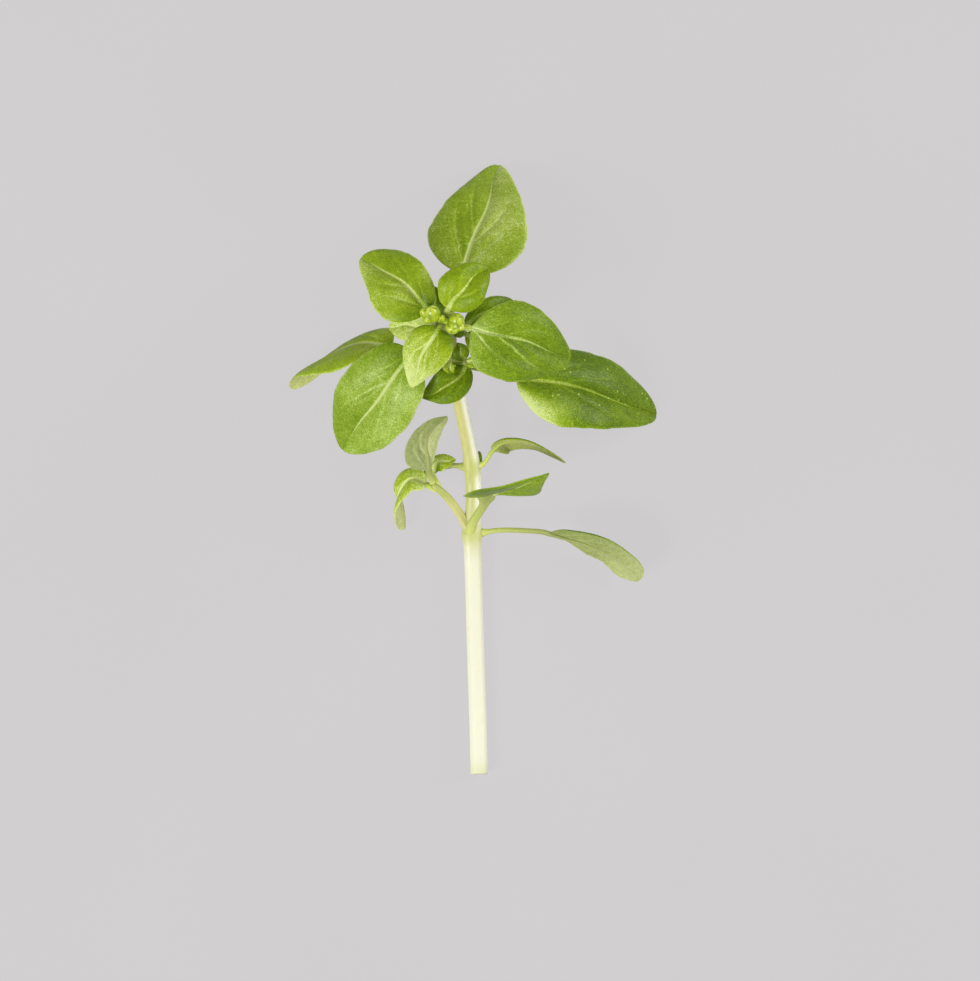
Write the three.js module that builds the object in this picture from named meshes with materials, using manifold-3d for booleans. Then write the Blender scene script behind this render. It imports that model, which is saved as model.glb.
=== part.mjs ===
// Cut basil sprig, picked and lying on a flat surface with its leaves spread and its tip raised.
//
// Millimetres, +Z up. The stem lies along Y: its cut end is towards -Y and its growing tip towards +Y.
// A leaf is a thin waved blade. Its stalk starts on the stem's axis, is trimmed clear of the stem's
// skin, and runs on along the back of the blade as the raised rib. The pieces are set out round the
// lower node of the stem, and the finished sprig is moved so that the origin is the middle of the
// underside of its box.

import * as THREE from 'three';
import { mergeVertices } from 'three/addons/utils/BufferGeometryUtils.js';
import Module from 'manifold-3d';

const wasm = await Module();
wasm.setup();

// ---- driving dimensions -----------------------------------------------------------------------

const BLADE_THICKNESS = 0.6;
const CLEAR_GAP = 0.3;              // space between a stalk and the stem that carries it
const STALK_RADIUS = 0.5;
const STALK_FLARE = 1.35;           // the stalk is this much thicker where it meets the stem
const RIB_END_RADIUS = 0.3;
const RIB_SHARE = 0.6;              // part of the blade's length that the raised rib reaches
const STALK_FLARE_END = 1 / 3;      // part of its rings over which the flare dies away
const STALK_SETTLES = [0.7, 0.1];   // it moves under the blade from this share of itself to this far in
const SMALLEST_BEND = 0.001;        // a flat leaf is bent this little, so that its arc can be worked out
const RIPPLES = 2;                  // waves along a margin
const RIPPLE_SHIFT = 0.25;          // how far the right margin's waves lag the left one's
const STEM_SQUARENESS = 2.8;        // power of the rounded-square section: 2 is round
const STEM_SIDES = 12;
const RINGS_PER_STEM_POINT = 2;
const BUD_TAPER = 0.25;             // how much narrower a bud is at its pointed end
const BUD_CELLS = [8, 5];           // cells round a bud and along it
const CURVE_STEPS = 40;             // arc-length steps between two points of a rib or stem

// How finely a blade and its stalk are divided: rows along, cells each side of the rib, stalk sides.
const LARGE = { rows: 13, across: 3, sides: 8, rings: 8 };
const MEDIUM = { rows: 10, across: 2, sides: 6, rings: 6 };
const SMALL = { rows: 8, across: 2, sides: 6, rings: 4 };

// A plain oval blade: its half width at the places where a leaf's widths are given, as shares of the
// greatest one.
const OVAL_SHARES = [0.42, 0.76, 0.98, 0.98, 0.8, 0.52, 0.22];
const oval = (half) => OVAL_SHARES.map((share) => share * half);

// The main stem, from the cut end to the growing tip. It is thicker at each pair of leaves.
const MAIN_STEM = [
  { at: [0.9, -55.5, 1.5], radius: 1.6 },
  { at: [0.6, -44, 1.5], radius: 1.6 },
  { at: [0.2, -32, 1.5], radius: 1.6 },
  { at: [-0.1, -21, 1.9], radius: 1.58 },
  { at: [-0.35, -14, 2.6], radius: 1.6 },
  { at: [-0.4, -11.3, 2.95], radius: 1.95 },
  { at: [-0.3, -8.6, 3.4], radius: 1.5 },
  { at: [-0.1, -5, 4.2], radius: 1.42 },
  { at: [-0.2, -1.5, 5.2], radius: 1.4 },
  { at: [-0.4, 1.2, 6.3], radius: 1.62 },
  { at: [-0.7, 3.8, 7.3], radius: 1.38 },
  { at: [-1.2, 6.6, 8.6], radius: 1.35 },
  { at: [-2.5, 12.7, 11.6], radius: 1.28 },
  { at: [-3.2, 16.3, 13.8], radius: 1.25 },
  { at: [-3.8, 19.3, 16], radius: 1.45 },
  { at: [-4.15, 21.6, 18.4], radius: 1.2 },
  { at: [-4.5, 24, 21], radius: 1.35 },
  { at: [-4.8, 25.4, 23.2], radius: 1.1 },
  { at: [-5, 26.7, 25.5], radius: 1.2 },
  { at: [-5.2, 28, 28.5], radius: 0.7 },
];

// The side shoot that grows out of the lower node.
const SIDE_SHOOT = [
  { at: [-0.4, -11.3, 3.2], radius: 0.95 },
  { at: [-2.6, -7.6, 4.4], radius: 0.8 },
  { at: [-5, -4.4, 5.6], radius: 0.75 },
  { at: [-7.6, -2.1, 6.6], radius: 0.6 },
];

// Leaves. rib: points from the stem's axis along the stalk and the middle of the blade to its tip.
// bladeFrom: the rib point where the blade starts. left and right: half widths either side of the rib,
// seen from above the leaf with its tip ahead, at seven places from the base to the tip that lie closer
// together towards both ends. face: where the leaf's upper side looks, at its base, and faceTip at its
// tip; turn: how late it turns, where 1 is evenly. fold: how far each half is lifted at the rib, in
// degrees, and curl: how far it then bends to its margin, where a minus bends it down. foldTip and
// curlTip are the same at the tip. stalk: the stalk's radius. wave: rise and fall of the margin.
const LEAVES = {
  top_leaf: {
    rib: [[-4.5, 24.2, 21], [-3.5, 31, 21], [-2.2, 35.8, 18.6], [0.1, 42.6, 14.6], [2.4, 49.4, 8.9],
      [4.3, 56.9, 0.3]],
    bladeFrom: 2, left: [4.2, 7.5, 8.7, 7.5, 5.4, 3.4, 1.6], right: [4.9, 7.9, 9.4, 8, 5.7, 3.5, 1.7],
    face: [0, 0.55, 0.8], wave: 0.4, mesh: LARGE,
  },
  upper_left_leaf: {
    rib: [[-4.7, 26.7, 26], [-8, 28.9, 27], [-11.3, 32.4, 26.5], [-15.5, 35.9, 23.5],
      [-20.3, 38.6, 19.5]],
    bladeFrom: 1, left: [3.4, 6.2, 7, 6.3, 4.5, 2.9, 1.4], right: [2.2, 3.7, 4.8, 5.1, 4.3, 3, 1.4],
    face: [-0.3, 0.35, 0.9], wave: 0.3, mesh: MEDIUM,
  },
  upper_right_leaf: {
    rib: [[-5, 26.2, 26], [-0.4, 25.6, 27.8], [5.6, 24, 28], [11.4, 22.6, 25.5], [17.3, 20.4, 20.5]],
    bladeFrom: 1, left: [1.8, 4.9, 7, 6.6, 4.8, 3, 1.4], right: [4.2, 6.9, 7.5, 7.3, 5.8, 3.7, 1.7],
    face: [0.3, -0.05, 1], wave: 0.35, mesh: LARGE,
  },
  young_leaf_above: {
    rib: [[-5, 27.2, 26.8], [-4.4, 29.1, 29.9], [-2.2, 32.2, 32], [-0.1, 34.4, 31.5], [2.5, 36.2, 30]],
    bladeFrom: 1, left: [1.7, 3.1, 4.2, 4, 3.2, 2.2, 1], right: [1.8, 3.3, 4.1, 4.3, 3.6, 2.5, 1.2],
    face: [0.15, 0.15, 1], stalk: 0.42, wave: 0.15, mesh: MEDIUM,
  },
  young_leaf_below: {
    rib: [[-5.1, 26.9, 26.6], [-6.2, 25.5, 29.2], [-8.1, 22.3, 30], [-9.6, 19.3, 28.5],
      [-11.2, 15.3, 25]],
    bladeFrom: 1, left: [2.6, 4.2, 4.5, 3.8, 2.5, 1.5, 0.6], right: [2.2, 3.6, 4.2, 3.9, 2.9, 1.6, 0.6],
    face: [-0.3, -0.1, 1], stalk: 0.42, wave: 0.15, mesh: MEDIUM,
  },
  far_right_leaf: {
    rib: [[-3.8, 19.5, 16], [1, 18.8, 16.6], [7.6, 17.3, 14.6], [15.6, 16.1, 12.5], [24, 13.9, 8.5],
      [33.6, 10.6, 0.4]],
    bladeFrom: 2, left: [3, 5.2, 7.3, 7.7, 6.7, 4.9, 2.4], right: [3.7, 7, 8, 7.1, 5.2, 3.5, 1.7],
    face: [0.2, 0.35, 1], wave: 0.4, mesh: LARGE,
  },
  broad_left_leaf: {
    rib: [[-4.5, 24.2, 21], [-10.8, 21, 22], [-15, 16.4, 20.5], [-19.5, 10.6, 16], [-23.9, 4.2, 9]],
    bladeFrom: 1, left: [4, 6.1, 7.1, 7.4, 6.4, 4.4, 2], right: [3.9, 6.2, 7.3, 7.6, 6.5, 4.2, 1.8],
    face: [-0.35, -0.25, 1], wave: 0.4, mesh: LARGE,
  },
  far_left_leaf: {
    rib: [[-3.8, 20, 16], [-9, 21.9, 16.2], [-14.8, 22.8, 15.6], [-21, 23.4, 13], [-28.7, 20.4, 6.6],
      [-33.9, 15.8, 0.3]],
    bladeFrom: 2, left: [3.4, 5.1, 6.1, 5.6, 4.2, 2.3, 1.1], right: [4.1, 5, 4.3, 3.6, 2.8, 1.9, 1],
    face: [0, 0.8, 0.62], faceTip: [-0.3, 0.5, -0.9], turn: 4, fold: [5, 22], foldTip: [-14, -48],
    curl: [-20, -20], curlTip: [-20, -20], wave: 0.2, mesh: LARGE,
  },
  mid_right_leaf: {
    rib: [[-0.3, 0.7, 6.2], [1.9, 1.9, 7.4], [3.4, 4.1, 8.4], [5.2, 5.6, 8.9], [8, 5.8, 9.2],
      [12, 4.5, 9], [16.7, 1.9, 8]],
    bladeFrom: 2, left: [3.4, 4.6, 4.4, 3, 1.8, 1, 0.5], right: [1.2, 1.6, 1.7, 1.4, 1, 0.7, 0.4],
    face: [0.1, 0.95, -0.25], fold: [4, 4], curl: [-20, -20], stalk: 0.4, wave: 0.1, mesh: MEDIUM,
  },
  mid_left_leaf: {
    rib: [[-0.5, 1, 6.3], [-4.4, 1.4, 4.6], [-7.6, 0.4, 3], [-11, -1.6, 2.2]],
    bladeFrom: 1, left: oval(1.9), right: oval(1.9),
    face: [-0.1, 0.9, 0.4], wave: 0.1, mesh: SMALL,
  },
  low_right_leaf: {
    rib: [[-0.4, -11.3, 3], [4.5, -10.5, 4.2], [10, -10.6, 4.9], [14, -11.1, 5.2], [21.5, -13.4, 5.4],
      [27, -16.2, 5], [30.1, -19.9, 4.1]],
    bladeFrom: 3, left: [1.1, 2.1, 3.7, 4.8, 5.4, 4.8, 2.8], right: [1.3, 3, 4.6, 5.3, 5, 4, 2.2],
    face: [0.3, 0.85, -0.38], wave: 0.2, mesh: LARGE,
  },
  low_rising_leaf: {
    rib: [[-0.9, -12.2, 3], [-0.5, -9.6, 5.3], [1.4, -6.5, 8.4], [2.9, -4.2, 11.5], [5.3, -3.2, 15.5],
      [9, -2.1, 20.5], [13.4, -0.2, 25.5]],
    bladeFrom: 3, left: [5.4, 6.9, 7.4, 6, 4.1, 2.3, 0.9], right: [0.6, 1.4, 3.6, 4.7, 3.2, 1.5, 0.5],
    face: [0.04, -0.94, 0.28], fold: [10, 8], curl: [0, 0], stalk: 0.8, wave: 0.1, mesh: LARGE,
  },
  side_shoot_turned_leaf: {
    rib: [[-7.6, -1.8, 7], [-8.3, 0.5, 8.9], [-8.6, 4.5, 10.2], [-7.4, 8, 10.4], [-4.9, 10.3, 10]],
    bladeFrom: 1, left: [0.6, 1.2, 1.7, 1.8, 1.7, 1.2, 0.6], right: [2.3, 3.8, 4, 3.3, 2.1, 1.1, 0.4],
    face: [0, 0, -1], stalk: 0.4, wave: 0.1, mesh: MEDIUM,
  },
  side_shoot_hanging_leaf: {
    rib: [[-7, -3.2, 5.8], [-8.8, -2.1, 6.4], [-11.8, -1.1, 7.1], [-13.7, -3.8, 6.1], [-13.6, -7.2, 3.8],
      [-12.9, -10.3, 1.5]],
    bladeFrom: 1, left: [1.6, 2.4, 2.6, 2.3, 2.1, 1.9, 1.1], right: [1.6, 2.4, 2.6, 2.3, 1.8, 1.4, 0.8],
    face: [-0.2, 0.5, 0.8], faceTip: [-1, 0, -1], turn: 1.5, stalk: 0.4, wave: 0.1, mesh: MEDIUM,
  },
};

// The small leaf fused into the side shoot.
const SIDE_SHOOT_LEAF = {
  rib: [[-6.4, -3.1, 6], [-7.6, 0.2, 6], [-6.3, 1.9, 6.3], [-3.4, 2.5, 5.9]],
  bladeFrom: 1, left: oval(1.6), right: oval(1.6),
  face: [0, 0.3, 1], fold: [4, 4], curl: [-12, -12], stalk: 0.4, wave: 0.05, mesh: SMALL,
};

// Short shoots in the angles between the leaf stalks and the stem: a few small leaves on one hub.
const AXIL_SHOOTS = {
  axil_shoot_front: {
    hub: { at: [-2.3, 20.5, 18.1], radius: 0.9 },
    leaves: [
      {
        rib: [[-2.3, 20.5, 18.1], [-1.6, 19.2, 18.3], [-3.2, 16.8, 19.4], [-5.6, 14.9, 19.2],
          [-9.4, 13.5, 17.5]],
        bladeFrom: 1, left: [1.5, 2.5, 3.2, 3.1, 2.3, 1.2, 0.4],
        right: [1.5, 2.6, 3.4, 3.4, 2.7, 1.6, 0.6],
        face: [0, -0.1, 1], stalk: 0.4, wave: 0.15, mesh: SMALL,
      },
      {
        rib: [[-2.3, 20.5, 18.1], [-1.9, 20.4, 18.6], [-2.4, 21.8, 20], [-3.3, 23.3, 20.6]],
        bladeFrom: 1, left: oval(1.6), right: oval(1.6),
        face: [0.2, 0, 1], stalk: 0.4, wave: 0, mesh: SMALL,
      },
      {
        rib: [[-2.3, 20.5, 18.1], [-1.4, 20.1, 18.2], [-0.2, 19.8, 18.6], [1, 19.5, 18.2]],
        bladeFrom: 1, left: oval(1), right: oval(1),
        face: [0, 0, 1], stalk: 0.4, wave: 0, mesh: SMALL,
      },
      {
        rib: [[-2.3, 20.5, 18.1], [-3.9, 20.1, 20.6], [-4.5, 19.2, 21.3], [-3.7, 17.9, 20.8]],
        bladeFrom: 1, left: oval(1.3), right: oval(1.2),
        face: [0, 0, 1], stalk: 0.4, wave: 0, mesh: SMALL,
      },
    ],
  },
  axil_shoot_right: {
    hub: { at: [-2.6, 25.1, 22], radius: 0.95 },
    leaves: [
      {
        rib: [[-2.6, 25.1, 22], [-1.4, 26.4, 22.4], [1.4, 28.2, 22.8], [4, 29.8, 22], [7, 31, 20]],
        bladeFrom: 1, left: oval(2.3), right: oval(2.8),
        face: [0.1, 0.1, 1], stalk: 0.4, wave: 0.1, mesh: SMALL,
      },
      {
        rib: [[-2.6, 25.1, 22], [-1.4, 24.8, 21.9], [0.6, 23.3, 21.6], [2.8, 20.9, 20.3],
          [4.6, 18.5, 18]],
        bladeFrom: 1, left: oval(2.4), right: oval(2.2),
        face: [0.1, -0.1, 1], stalk: 0.4, wave: 0.1, mesh: SMALL,
      },
    ],
  },
  axil_shoot_left: {
    hub: { at: [-6.2, 26.2, 22.8], radius: 1 },
    leaves: [
      {
        rib: [[-6.2, 26.2, 22.8], [-7.4, 26.2, 23.3], [-10, 26.2, 23.4], [-12.6, 26.2, 22.4],
          [-15.2, 26, 20.5]],
        bladeFrom: 1, left: oval(3), right: oval(3),
        face: [-0.1, 0, 1], stalk: 0.4, wave: 0.1, mesh: SMALL,
      },
      {
        rib: [[-6.2, 26.2, 22.8], [-6.1, 27.8, 23.5], [-6.8, 30.6, 23.9], [-7.4, 33.4, 23]],
        bladeFrom: 1, left: oval(2.2), right: oval(2.2),
        face: [0, 0.1, 1], stalk: 0.4, wave: 0.1, mesh: SMALL,
      },
    ],
  },
};

// Buds: pointed ovals packed round the growing tip. at is the middle, towards the pointed end. The
// first one lies across the tip and joins the clusters on its two sides.
const TIP_BUDS = [
  { at: [-5.5, 27.1, 29.3], towards: [1, -0.4, 0], long: 1.9, thick: 0.6 },
  { at: [-5.6, 27.3, 29.8], towards: [0, 0.1, 1], long: 1.1, thick: 0.65 },
  { at: [-7.3, 28.2, 29.7], towards: [-0.1, 0.1, 1], long: 1.7, thick: 1.4 },
  { at: [-8.5, 28.4, 29.5], towards: [-0.5, 0.2, 1], long: 1.1, thick: 0.95 },
  { at: [-8, 27.4, 29.7], towards: [-0.4, -0.4, 1], long: 1.1, thick: 0.75 },
  { at: [-3.1, 26.9, 29.7], towards: [0.1, 0.2, 1], long: 1.6, thick: 1.25 },
  { at: [-3.7, 25.8, 29.9], towards: [-0.1, -0.3, 1], long: 1.4, thick: 1.15 },
  { at: [-2.5, 26, 29.4], towards: [0.5, -0.2, 1], long: 1.1, thick: 0.9 },
];

// Buds on the main stem: a small one in the angle above the middle pair of leaves.
const STEM_BUDS = [
  { at: [0.9, 2.6, 6.2], towards: [0, 0.95, 0.35], long: 1.5, thick: 0.6 },
];

// Colours and surface of each kind of growth.
const FINISHES = {
  stem: { color: 0xc9cf92, roughness: 0.5 },
  shoot: { color: 0xb4c25e, roughness: 0.5 },
  leaf: { color: 0x7c9c26, roughness: 0.45 },
  deepLeaf: { color: 0x5b8018, roughness: 0.45 },
  youngLeaf: { color: 0xa9bf4c, roughness: 0.42 },
  paleLeaf: { color: 0xa2a96c, roughness: 0.6 },
  bud: { color: 0xaebd3c, roughness: 0.45 },
};

const LEAF_FINISHES = {
  far_right_leaf: 'deepLeaf',
  far_left_leaf: 'deepLeaf',
  mid_left_leaf: 'deepLeaf',
  young_leaf_above: 'youngLeaf',
  young_leaf_below: 'youngLeaf',
  side_shoot_hanging_leaf: 'youngLeaf',
  low_right_leaf: 'paleLeaf',
  mid_right_leaf: 'paleLeaf',
  side_shoot_turned_leaf: 'paleLeaf',
};

// ---- curves and frames ------------------------------------------------------------------------

// A smooth curve through the points, measured by its length. shareAt gives the share of the length
// at which a point of the list lies.
function smoothCurve(points) {
  const curve = new THREE.CatmullRomCurve3(
    points.map((p) => new THREE.Vector3(...p)), false, 'catmullrom', 0.5);
  curve.arcLengthDivisions = CURVE_STEPS * (points.length - 1);
  const lengths = curve.getLengths();
  const shareAt = (index) => lengths[CURVE_STEPS * index] / lengths[lengths.length - 1];
  return { curve, shareAt };
}

// The curve's place and direction at a share of its length, with the face direction squared to it.
// side is to the right, seen from above the face with the curve running ahead.
function frameAt(curve, share, face) {
  const centre = curve.getPointAt(share);
  const ahead = curve.getTangentAt(share);
  const normal = face.clone().addScaledVector(ahead, -face.dot(ahead)).normalize();
  const side = new THREE.Vector3().crossVectors(ahead, normal);
  return { centre, ahead, normal, side };
}

// ---- solids -----------------------------------------------------------------------------------

// A closed solid from a list of points and triangles of point numbers.
function solidOf(points, triangles) {
  const vertProperties = new Float32Array(points.flatMap((p) => [p.x, p.y, p.z]));
  const triVerts = new Uint32Array(triangles.flat());
  return new wasm.Manifold(new wasm.Mesh({ numProp: 3, vertProperties, triVerts }));
}

// A closed skin over rings of points, all of one size, each end covered by a fan round its middle.
function skinRings(rings) {
  const sides = rings[0].length;
  const points = rings.flat();
  const triangles = [];
  for (let k = 0; k < rings.length - 1; k += 1) {
    for (let m = 0; m < sides; m += 1) {
      const a = k * sides + m;
      const b = k * sides + (m + 1) % sides;
      triangles.push([a, b, b + sides], [a, b + sides, a + sides]);
    }
  }
  for (const [first, flip] of [[0, true], [(rings.length - 1) * sides, false]]) {
    const ring = points.slice(first, first + sides);
    const middle = ring.reduce((sum, p) => sum.add(p), new THREE.Vector3()).divideScalar(sides);
    points.push(middle);
    for (let m = 0; m < sides; m += 1) {
      const a = first + m;
      const b = first + (m + 1) % sides;
      triangles.push(flip ? [b, a, points.length - 1] : [a, b, points.length - 1]);
    }
  }
  return solidOf(points, triangles);
}

// A ring of points round a frame. reach gives the ring's radius at an angle.
function ringAt({ centre, normal, side }, sides, reach) {
  return Array.from({ length: sides }, (_, m) => {
    const angle = ((m + 0.5) / sides) * 2 * Math.PI;
    return centre.clone()
      .addScaledVector(side, -Math.cos(angle) * reach(angle))
      .addScaledVector(normal, Math.sin(angle) * reach(angle));
  });
}

// A stem with a rounded-square section. grow makes it thicker and longer all round, for trimming
// what grows out of it. floor flattens its underside to the surface that it lies on.
function stemSolid(stem, { grow = 0, floor = false } = {}) {
  const { curve, shareAt } = smoothCurve(stem.map((point) => point.at));
  const up = new THREE.Vector3(0, 0, 1);
  const corner = (angle) => (Math.abs(Math.cos(angle)) ** STEM_SQUARENESS
    + Math.abs(Math.sin(angle)) ** STEM_SQUARENESS) ** (-1 / STEM_SQUARENESS);
  const rings = [];
  for (let step = 0; step <= RINGS_PER_STEM_POINT * (stem.length - 1); step += 1) {
    const index = Math.floor(step / RINGS_PER_STEM_POINT);
    const next = Math.min(index + 1, stem.length - 1);
    const part = step / RINGS_PER_STEM_POINT - index;
    const share = THREE.MathUtils.lerp(shareAt(index), shareAt(next), part);
    const radius = THREE.MathUtils.lerp(stem[index].radius, stem[next].radius, part) + grow;
    const frame = frameAt(curve, share, up);
    if (share === 0) frame.centre.addScaledVector(frame.ahead, -grow);
    if (share === 1) frame.centre.addScaledVector(frame.ahead, grow);
    rings.push(ringAt(frame, STEM_SIDES, (angle) => radius * corner(angle)));
  }
  if (floor) {
    rings.flat().forEach((p) => p.setZ(Math.max(p.z, 0)));
  }
  return skinRings(rings);
}

// The half width at u along the blade: a smooth curve through the widths, which shrink to nothing at
// both ends. The places of the widths are even steps of an angle, so they crowd towards the ends.
function widthAt(u, widths) {
  const knots = [-widths[0], 0, ...widths, 0, -widths.at(-1)];
  const place = (Math.acos(1 - 2 * u) / Math.PI) * (widths.length + 1);
  const step = Math.min(Math.floor(place), widths.length);
  const t = place - step;
  const [a, b, c, d] = knots.slice(step, step + 4);
  return (2 * b + (c - a) * t + (2 * a - 5 * b + 4 * c - d) * t ** 2
    + (3 * b - a - 3 * c + d) * t ** 3) / 2;
}

// A point of the blade at u along it and v across it, lifted off its middle surface by lift.
function bladePoint(leaf, frame, u, v, lift) {
  const half = v < 0 ? 0 : 1;
  const blend = (base, tip) => THREE.MathUtils.degToRad(THREE.MathUtils.lerp(base[half], tip[half], u));
  const fold = blend(leaf.fold, leaf.foldTip);
  const curl = blend(leaf.curl, leaf.curlTip);
  const widths = half ? leaf.right : leaf.left;
  const width = Math.abs(v) * widthAt(u, widths);
  const bend = (Math.abs(curl) > SMALLEST_BEND ? curl : SMALLEST_BEND) / Math.max(...widths);
  const slope = fold + bend * width;
  const across = (Math.sin(slope) - Math.sin(fold)) / bend - Math.sin(slope) * lift;
  const turns = RIPPLES * u + RIPPLE_SHIFT * half;
  const ripple = leaf.wave * v * v * Math.sin(Math.PI * u) * Math.sin(2 * Math.PI * turns);
  const height = (Math.cos(fold) - Math.cos(slope)) / bend + Math.cos(slope) * lift + ripple;
  return frame.centre.clone()
    .addScaledVector(frame.side, Math.sign(v || 1) * across)
    .addScaledVector(frame.normal, height);
}

// The blade: the same grid above and below, split into triangles alike, with a wall round its margin.
// Its first and last rows shrink to one point.
function bladeSolid(leaf) {
  const { rows, across } = leaf.mesh;
  const points = [];
  const numbers = [];
  for (const lift of [BLADE_THICKNESS / 2, -BLADE_THICKNESS / 2]) {
    for (let i = 0; i <= rows; i += 1) {
      const u = (1 - Math.cos((Math.PI * i) / rows)) / 2;
      const frame = leaf.frame(u);
      const isEnd = i === 0 || i === rows;
      const row = [];
      for (let j = -across; j <= across; j += 1) {
        if (!isEnd || j === -across) {
          points.push(bladePoint(leaf, frame, u, isEnd ? 0 : j / across, lift));
        }
        row.push(points.length - 1);
      }
      numbers.push(row);
    }
  }
  const triangles = [];
  const addFace = (a, b, c) => {
    if (a !== b && b !== c && a !== c) triangles.push([a, b, c]);
  };
  const addQuad = (a, b, c, d) => {
    addFace(a, b, c);
    addFace(a, c, d);
  };
  const above = numbers.slice(0, rows + 1);
  const below = numbers.slice(rows + 1);
  const last = 2 * across;
  for (let i = 0; i < rows; i += 1) {
    for (let j = 0; j < last; j += 1) {
      addQuad(above[i][j], above[i][j + 1], above[i + 1][j + 1], above[i + 1][j]);
      addFace(below[i][j], below[i + 1][j + 1], below[i][j + 1]);
      addFace(below[i][j], below[i + 1][j], below[i + 1][j + 1]);
    }
    addQuad(below[i][last], below[i + 1][last], above[i + 1][last], above[i][last]);
    addQuad(below[i + 1][0], below[i][0], above[i][0], above[i + 1][0]);
  }
  return solidOf(points, triangles);
}

// The stalk, flared at the stem, and the rib that it becomes along the back of the blade.
function stalkSolid(leaf) {
  const { rings: ringCount, sides } = leaf.mesh;
  const ribEnd = leaf.bladeShare + (1 - leaf.bladeShare) * RIB_SHARE;
  const rings = [];
  for (let k = 0; k <= ringCount; k += 1) {
    const share = (ribEnd * k) / ringCount;
    const onBlade = THREE.MathUtils.smoothstep(
      share, leaf.bladeShare * STALK_SETTLES[0], leaf.bladeShare + STALK_SETTLES[1]);
    const toEnd = Math.max(0, (share - leaf.bladeShare) / (ribEnd - leaf.bladeShare));
    const flare = 1 + (STALK_FLARE - 1) * (1 - Math.min(1, k / ringCount / STALK_FLARE_END));
    const radius = THREE.MathUtils.lerp(leaf.stalk * flare, RIB_END_RADIUS, toEnd);
    const frame = frameAt(leaf.curve, share, leaf.faceAt(leaf.uAt(share)));
    const drop = THREE.MathUtils.lerp(BLADE_THICKNESS / 2, BLADE_THICKNESS / 4, toEnd);
    frame.centre.addScaledVector(frame.normal, -onBlade * drop);
    rings.push(ringAt(frame, sides, () => radius));
  }
  return skinRings(rings);
}

// A whole leaf. It fills in what a leaf's entry leaves out, then joins the blade and the stalk.
function leafSolid(entry) {
  const leaf = { fold: [12, 12], curl: [-25, -25], turn: 1, stalk: STALK_RADIUS, ...entry };
  leaf.foldTip ??= leaf.fold;
  leaf.curlTip ??= leaf.curl;
  const face = new THREE.Vector3(...leaf.face).normalize();
  const faceTip = new THREE.Vector3(...(leaf.faceTip ?? leaf.face)).normalize();
  const { curve, shareAt } = smoothCurve(leaf.rib);
  leaf.curve = curve;
  leaf.bladeShare = shareAt(leaf.bladeFrom);
  leaf.uAt = (share) => Math.max(0, (share - leaf.bladeShare) / (1 - leaf.bladeShare));
  leaf.faceAt = (u) => face.clone().lerp(faceTip, u ** leaf.turn);
  leaf.frame = (u) => frameAt(curve, leaf.bladeShare + (1 - leaf.bladeShare) * u, leaf.faceAt(u));
  return bladeSolid(leaf).add(stalkSolid(leaf));
}

// A bud: an oval, drawn out to a blunt point.
function budSolid({ at, towards, long, thick }) {
  const sphere = new THREE.SphereGeometry(1, ...BUD_CELLS).rotateX(Math.PI / 2);
  sphere.deleteAttribute('normal');
  sphere.deleteAttribute('uv');
  const merged = mergeVertices(sphere);
  const turn = new THREE.Quaternion().setFromUnitVectors(
    new THREE.Vector3(0, 0, 1), new THREE.Vector3(...towards).normalize());
  const place = merged.getAttribute('position');
  const points = Array.from({ length: place.count }, (_, i) => {
    const p = new THREE.Vector3().fromBufferAttribute(place, i);
    const taper = 1 - BUD_TAPER * p.z;
    p.set(p.x * thick * taper, p.y * thick * taper, p.z * long);
    return p.applyQuaternion(turn).add(new THREE.Vector3(...at));
  });
  const corners = Array.from(merged.index.array);
  const triangles = Array.from({ length: corners.length / 3 }, (_, i) => corners.slice(3 * i, 3 * i + 3));
  return solidOf(points, triangles);
}

function joined(solids) {
  return solids.reduce((whole, solid) => whole.add(solid));
}

// ---- the sprig --------------------------------------------------------------------------------

function meshOf(name, solid, finish) {
  const { vertProperties, triVerts } = solid.getMesh();
  const geometry = new THREE.BufferGeometry();
  geometry.setAttribute('position', new THREE.BufferAttribute(vertProperties, 3));
  geometry.setIndex(new THREE.BufferAttribute(triVerts, 1));
  const material = new THREE.MeshStandardMaterial({ metalness: 0, ...FINISHES[finish] });
  const mesh = new THREE.Mesh(geometry, material);
  mesh.name = name;
  return mesh;
}

function buildSprig() {
  const sprig = new THREE.Group();
  const stemRoom = stemSolid(MAIN_STEM, { grow: CLEAR_GAP });
  const shootRoom = stemSolid(SIDE_SHOOT, { grow: CLEAR_GAP });

  const mainStem = joined([stemSolid(MAIN_STEM, { floor: true }), ...STEM_BUDS.map(budSolid)]);
  sprig.add(meshOf('main_stem', mainStem, 'stem'));

  const sideShoot = stemSolid(SIDE_SHOOT).add(leafSolid(SIDE_SHOOT_LEAF)).subtract(stemRoom);
  sprig.add(meshOf('side_shoot', sideShoot, 'shoot'));

  for (const [name, leaf] of Object.entries(LEAVES)) {
    const room = name.startsWith('side_shoot') ? shootRoom : stemRoom;
    sprig.add(meshOf(name, leafSolid(leaf).subtract(room), LEAF_FINISHES[name] ?? 'leaf'));
  }

  for (const [name, { hub, leaves }] of Object.entries(AXIL_SHOOTS)) {
    const middle = budSolid({ at: hub.at, towards: [0, 0, 1], long: hub.radius, thick: hub.radius });
    const shoot = joined([middle, ...leaves.map(leafSolid)]).subtract(stemRoom);
    sprig.add(meshOf(name, shoot, 'deepLeaf'));
  }

  sprig.add(meshOf('tip_buds', joined(TIP_BUDS.map(budSolid)).subtract(stemRoom), 'bud'));
  return sprig;
}

// The sprig, moved so that the middle of its box's underside is the origin.
function centred(sprig) {
  const box = new THREE.Box3().setFromObject(sprig, true);
  const middle = box.getCenter(new THREE.Vector3());
  sprig.position.set(-middle.x, -middle.y, -box.min.z);
  return sprig;
}

export default centred(buildSprig());
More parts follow.
